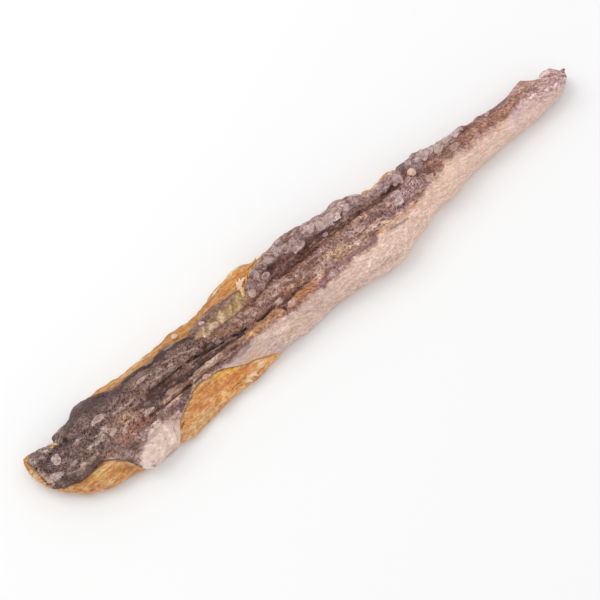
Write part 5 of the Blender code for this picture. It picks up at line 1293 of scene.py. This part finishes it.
def curedSkin():
    look = skinLook
    material, tree = emptyMaterial("cured haddock skin")
    way = addNode(tree, "ShaderNodeAttribute", {"attribute_name": "skinWay"}).outputs["Vector"]
    tone = addNode(tree, "ShaderNodeAttribute", {"attribute_name": "tone"}).outputs["Color"]
    where = {}
    for layer, names in (("grounds", ("net", "pits", "ribs")), ("finish", ("lobes", "mesh", "belly")),
                         ("lie", ("streaks", "rough"))):
        stored = addNode(tree, "ShaderNodeAttribute", {"attribute_name": layer}).outputs["Color"]
        parts = addNode(tree, "ShaderNodeSeparateColor", links={"Color": stored})
        where.update(zip(names, (parts.outputs["Red"], parts.outputs["Green"], parts.outputs["Blue"])))
    dark = addNode(tree, "ShaderNodeMath", {"operation": "SUBTRACT", 0: 1.0}, {1: where["belly"]}).outputs["Value"]
    fewest = look["bellyShare"]
    most = addNode(tree, "ShaderNodeMath", {"operation": "MULTIPLY_ADD", 1: 1 - fewest, 2: fewest}, {0: dark})
    where["most"] = most.outputs["Value"]

    # nothing in the patterns runs straight: every place is pushed up to 0.7 mm aside
    swirl = addNode(tree, "ShaderNodeTexNoise", {"Scale": 1 / (look["bendGrain"] * mm), "Detail": 2.0}, {"Vector": way})
    push = (look["bend"] * mm, look["bend"] * mm, 0)
    bent = addNode(tree, "ShaderNodeVectorMath", {"operation": "MULTIPLY_ADD", 1: push},
                   {0: swirl.outputs["Color"], 2: way}).outputs["Vector"]
    grainAndGlints = None
    for kind, turn, along, across, settings, read, given, place in look["patterns"]:
        cells = kind == "ShaderNodeTexVoronoi"
        settings = dict({"feature": "DISTANCE_TO_EDGE"} if cells else {}, Scale=1.0, **settings)
        turned = addNode(tree, "ShaderNodeMapping", {"Rotation": (0, 0, turn)}, {"Vector": bent}).outputs["Vector"]
        scale = (1 / (along * mm), 1 / (across * mm), 1)
        sized = addNode(tree, "ShaderNodeMapping", {"Scale": scale}, {"Vector": turned})
        texture = addNode(tree, kind, settings, {"Vector": sized.outputs["Vector"]})
        value = addNode(tree, "ShaderNodeMapRange",
                        {"From Min": read[0], "From Max": read[1], "To Min": given[0], "To Max": given[1]},
                        {"Value": texture.outputs["Distance" if cells else "Fac"]})
        links = {0: value.outputs["Result"], 1: where[place]}
        if grainAndGlints:
            links[2] = grainAndGlints
        grainAndGlints = addNode(tree, "ShaderNodeMath", {"operation": "MULTIPLY_ADD", 2: 0.0}, links).outputs["Value"]
    grainAndGlints = addNode(tree, "ShaderNodeMath", {"operation": "MULTIPLY"}, {0: grainAndGlints, 1: where["rough"]}).outputs["Value"]

    # specks over everything, fainter on the belly
    speck = addNode(tree, "ShaderNodeTexNoise", {"Scale": 1 / (look["speck"] * mm), "Detail": 1.0}, {"Vector": bent})
    speckled = addNode(tree, "ShaderNodeMapRange", {"From Min": 0.3, "From Max": 0.7, "To Min": -0.3, "To Max": 0.3},
                       {"Value": speck.outputs["Fac"]}).outputs["Result"]
    reach = addNode(tree, "ShaderNodeMath", {"operation": "MULTIPLY"}, {0: where["most"], 1: where["rough"]})
    shade = addNode(tree, "ShaderNodeMath", {"operation": "MULTIPLY_ADD"},
                    {0: speckled, 1: reach.outputs["Value"], 2: grainAndGlints}).outputs["Value"]
    held = addNode(tree, "ShaderNodeClamp", {"Min": look["least"], "Max": look["most"]},
                   {"Value": shade}).outputs["Result"]
    swing = addNode(tree, "ShaderNodeVectorMath", {"operation": "MULTIPLY_ADD", 1: look["swing"], 2: (1, 1, 1)},
                    {0: held}).outputs["Vector"]
    colour = addNode(tree, "ShaderNodeVectorMath", {"operation": "MULTIPLY"}, {0: tone, 1: swing}).outputs["Vector"]
    bump = addNode(tree, "ShaderNodeBump", {"Strength": 0.8, "Distance": look["lineBump"] * mm}, {"Height": grainAndGlints})
    gloss = addNode(tree, "ShaderNodeMapRange",
                    {"From Min": -0.5, "From Max": 0.5, "To Min": look["roughest"], "To Max": look["smoothest"]},
                    {"Value": held})
    shader = addNode(tree, "ShaderNodeBsdfPrincipled", {"IOR": 1.42, "Specular IOR Level": 0.32},
                     {"Base Color": colour, "Roughness": gloss.outputs["Result"], "Normal": bump.outputs["Normal"]})
    addNode(tree, "ShaderNodeOutputMaterial", links={"Surface": shader.outputs["BSDF"]})
    return material


# the flesh, the scales and the shreds share one way: their own tone, made lighter and darker by a fine grain.
# size is that of the grain along, across and down in mm, turn is its direction, and bend how far it is pushed aside
grainLooks = {
    # firm and slightly oily, so its fibres, 0.7 mm wide, catch a soft sheen and its edges glow amber
    "cured haddock flesh": {
        "size": (2.2, 0.7, 0.7), "turn": 0, "bend": (2, 3, 3), "bendGrain": 5, "detail": 3.0, "rough": 0.6,
        "read": (0.3, 0.7), "given": (-0.5, 0.5), "swing": (0.45, 1.0, 1.6), "bump": 0.5, "bumpDepth": 0.2,
        "shader": {"IOR": 1.42, "Roughness": 0.48, "Specular IOR Level": 0.45, "Subsurface Weight": 0.15,
                   "Subsurface Radius": (0.004, 0.002, 0.001), "Subsurface Scale": 0.4},
    },
    # thin horn: a clear, hard gloss over what lies below, cloudy in patches 1.5 mm wide
    "dried haddock scale": {
        "size": (1.5, 1.5, 1.5), "turn": 0, "detail": 4.0, "rough": 0.7,
        "read": (0.32, 0.68), "given": (-0.5, 0.5), "swing": (0.8, 1.0, 1.05), "bump": 0.8, "bumpDepth": 0.3,
        "shader": {"IOR": 1.5, "Roughness": 0.36, "Specular IOR Level": 0.5, "Subsurface Weight": 0.1,
                   "Subsurface Scale": 0.3, "Subsurface Radius": (0.002, 0.0012, 0.001)},
    },
    # torn film and crumbs are dry flesh: matt, a little chalky, with fibres half a millimetre wide
    "dried haddock shreds": {
        "size": (2.4, 0.5, 0.8), "turn": -0.9, "detail": 3.0, "rough": 0.6,
        "read": (0.3, 0.7), "given": (-0.22, 0.2), "swing": (0.7, 1.0, 1.2), "bump": 0.6, "bumpDepth": 0.2,
        "shader": {"IOR": 1.42, "Roughness": 0.6, "Specular IOR Level": 0.3},
    },
}


def grainMaterial(name):
    look = grainLooks[name]
    material, tree = emptyMaterial(name)
    tone = addNode(tree, "ShaderNodeAttribute", {"attribute_name": "tone"}).outputs["Color"]
    place = addNode(tree, "ShaderNodeTexCoord").outputs["Object"]
    if "bend" in look:
        swirl = addNode(tree, "ShaderNodeTexNoise", {"Scale": 1 / (look["bendGrain"] * mm), "Detail": 2.0},
                        {"Vector": place})
        push = tuple(length * mm for length in look["bend"])
        place = addNode(tree, "ShaderNodeVectorMath", {"operation": "MULTIPLY_ADD", 1: push},
                        {0: swirl.outputs["Color"], 2: place}).outputs["Vector"]
    turned = addNode(tree, "ShaderNodeMapping",
                     {"Rotation": (0, 0, look["turn"]), "Scale": tuple(1 / (length * mm) for length in look["size"])},
                     {"Vector": place})
    texture = addNode(tree, "ShaderNodeTexNoise", {"Scale": 1.0, "Detail": look["detail"], "Roughness": look["rough"]},
                      {"Vector": turned.outputs["Vector"]})
    read, given = look["read"], look["given"]
    shade = addNode(tree, "ShaderNodeMapRange",
                    {"From Min": read[0], "From Max": read[1], "To Min": given[0], "To Max": given[1]},
                    {"Value": texture.outputs["Fac"]})
    swing = addNode(tree, "ShaderNodeVectorMath", {"operation": "MULTIPLY_ADD", 1: look["swing"], 2: (1, 1, 1)},
                    {0: shade.outputs["Result"]})
    colour = addNode(tree, "ShaderNodeVectorMath", {"operation": "MULTIPLY"}, {0: tone, 1: swing.outputs["Vector"]})
    bump = addNode(tree, "ShaderNodeBump", {"Strength": look["bump"], "Distance": look["bumpDepth"] * mm},
                   {"Height": texture.outputs["Fac"]})
    shader = addNode(tree, "ShaderNodeBsdfPrincipled", look["shader"],
                     {"Base Color": colour.outputs["Vector"], "Normal": bump.outputs["Normal"]})
    addNode(tree, "ShaderNodeOutputMaterial", links={"Surface": shader.outputs["BSDF"]})
    return material


def ownMaterial(obj, material):
    obj.data.materials.clear()
    obj.data.materials.append(material)


fishSkin = makeSkin()
ownMaterial(fishSkin, curedSkin())
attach(fishSkin, "root")
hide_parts("skin")

fishFlesh = makeFlesh(fishSkin)
ownMaterial(fishFlesh, grainMaterial("cured haddock flesh"))
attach(fishFlesh, "root")
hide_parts("flesh")

grounds = [treeOf(fishSkin.data), treeOf(fishFlesh.data)]
scales = makePlates(grounds)
ownMaterial(scales, grainMaterial("dried haddock scale"))
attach(scales, "root")
shreds = grainMaterial("dried haddock shreds")
for loose in (makeStrands(grounds), makeCrumbs(grounds)):
    ownMaterial(loose, shreds)
    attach(loose, "root")


# plain paper under a soft room light, one soft key from behind the back, and the camera over the belly side
studio = {"floor": 6.0, "paper": "f6f6f6", "worldLight": 0.86, "keyPower": 5.0, "keySize": 0.9,
          "keyPlace": (-0.35, 0.75, 0.95), "lookAt": (-0.0204, -0.0075, 0.005), "azimuth": -43.2,
          "elevation": 60.0, "distance": 0.587, "lens": 85.0, "sensor": 36.0, "floorDrop": 0.0002}


def makeStudio():
    look = studio
    bpy.ops.object.select_all(action="DESELECT")
    bpy.ops.mesh.primitive_plane_add(size=look["floor"], location=(0, 0, -look["floorDrop"]))
    bpy.ops.object.transform_apply(location=True)
    floor = bpy.context.object
    floor.name = "table_paper"
    material = bpy.data.materials.new("matt white paper")
    material.use_nodes = True
    tree = material.node_tree
    shader = tree.nodes["Principled BSDF"]
    shader.inputs["Roughness"].default_value = 0.9
    shader.inputs["Specular IOR Level"].default_value = 0.1
    shader.inputs["Base Color"].default_value = (*linearColour(look["paper"]), 1)
    ownMaterial(floor, material)
    world = bpy.data.worlds.new("soft room light")
    bpy.context.scene.world = world
    world.use_nodes = True
    world.node_tree.nodes["Background"].inputs["Color"].default_value = (1, 1, 1, 1)
    world.node_tree.nodes["Background"].inputs["Strength"].default_value = look["worldLight"]
    bpy.ops.object.light_add(type="AREA", location=look["keyPlace"])
    key = bpy.context.object
    key.name = "soft_key"
    key.data.energy = look["keyPower"]
    key.data.size = look["keySize"]
    key.rotation_euler = (Vector(look["lookAt"]) - key.location).to_track_quat("-Z", "Y").to_euler()
    turnAngle, rise = math.radians(look["azimuth"]), math.radians(look["elevation"])
    back = Vector((math.sin(turnAngle) * math.cos(rise), -math.cos(turnAngle) * math.cos(rise), math.sin(rise)))
    bpy.ops.object.camera_add(location=Vector(look["lookAt"]) + back * look["distance"])
    camera = bpy.context.object
    camera.rotation_euler = (-back).to_track_quat("-Z", "Y").to_euler()
    camera.data.lens = look["lens"]
    camera.data.sensor_width = look["sensor"]
    camera.data.clip_start = 0.01
    bpy.context.scene.camera = camera
    bpy.context.scene.view_settings.view_transform = "Standard"


makeStudio()
print("studio: ready")
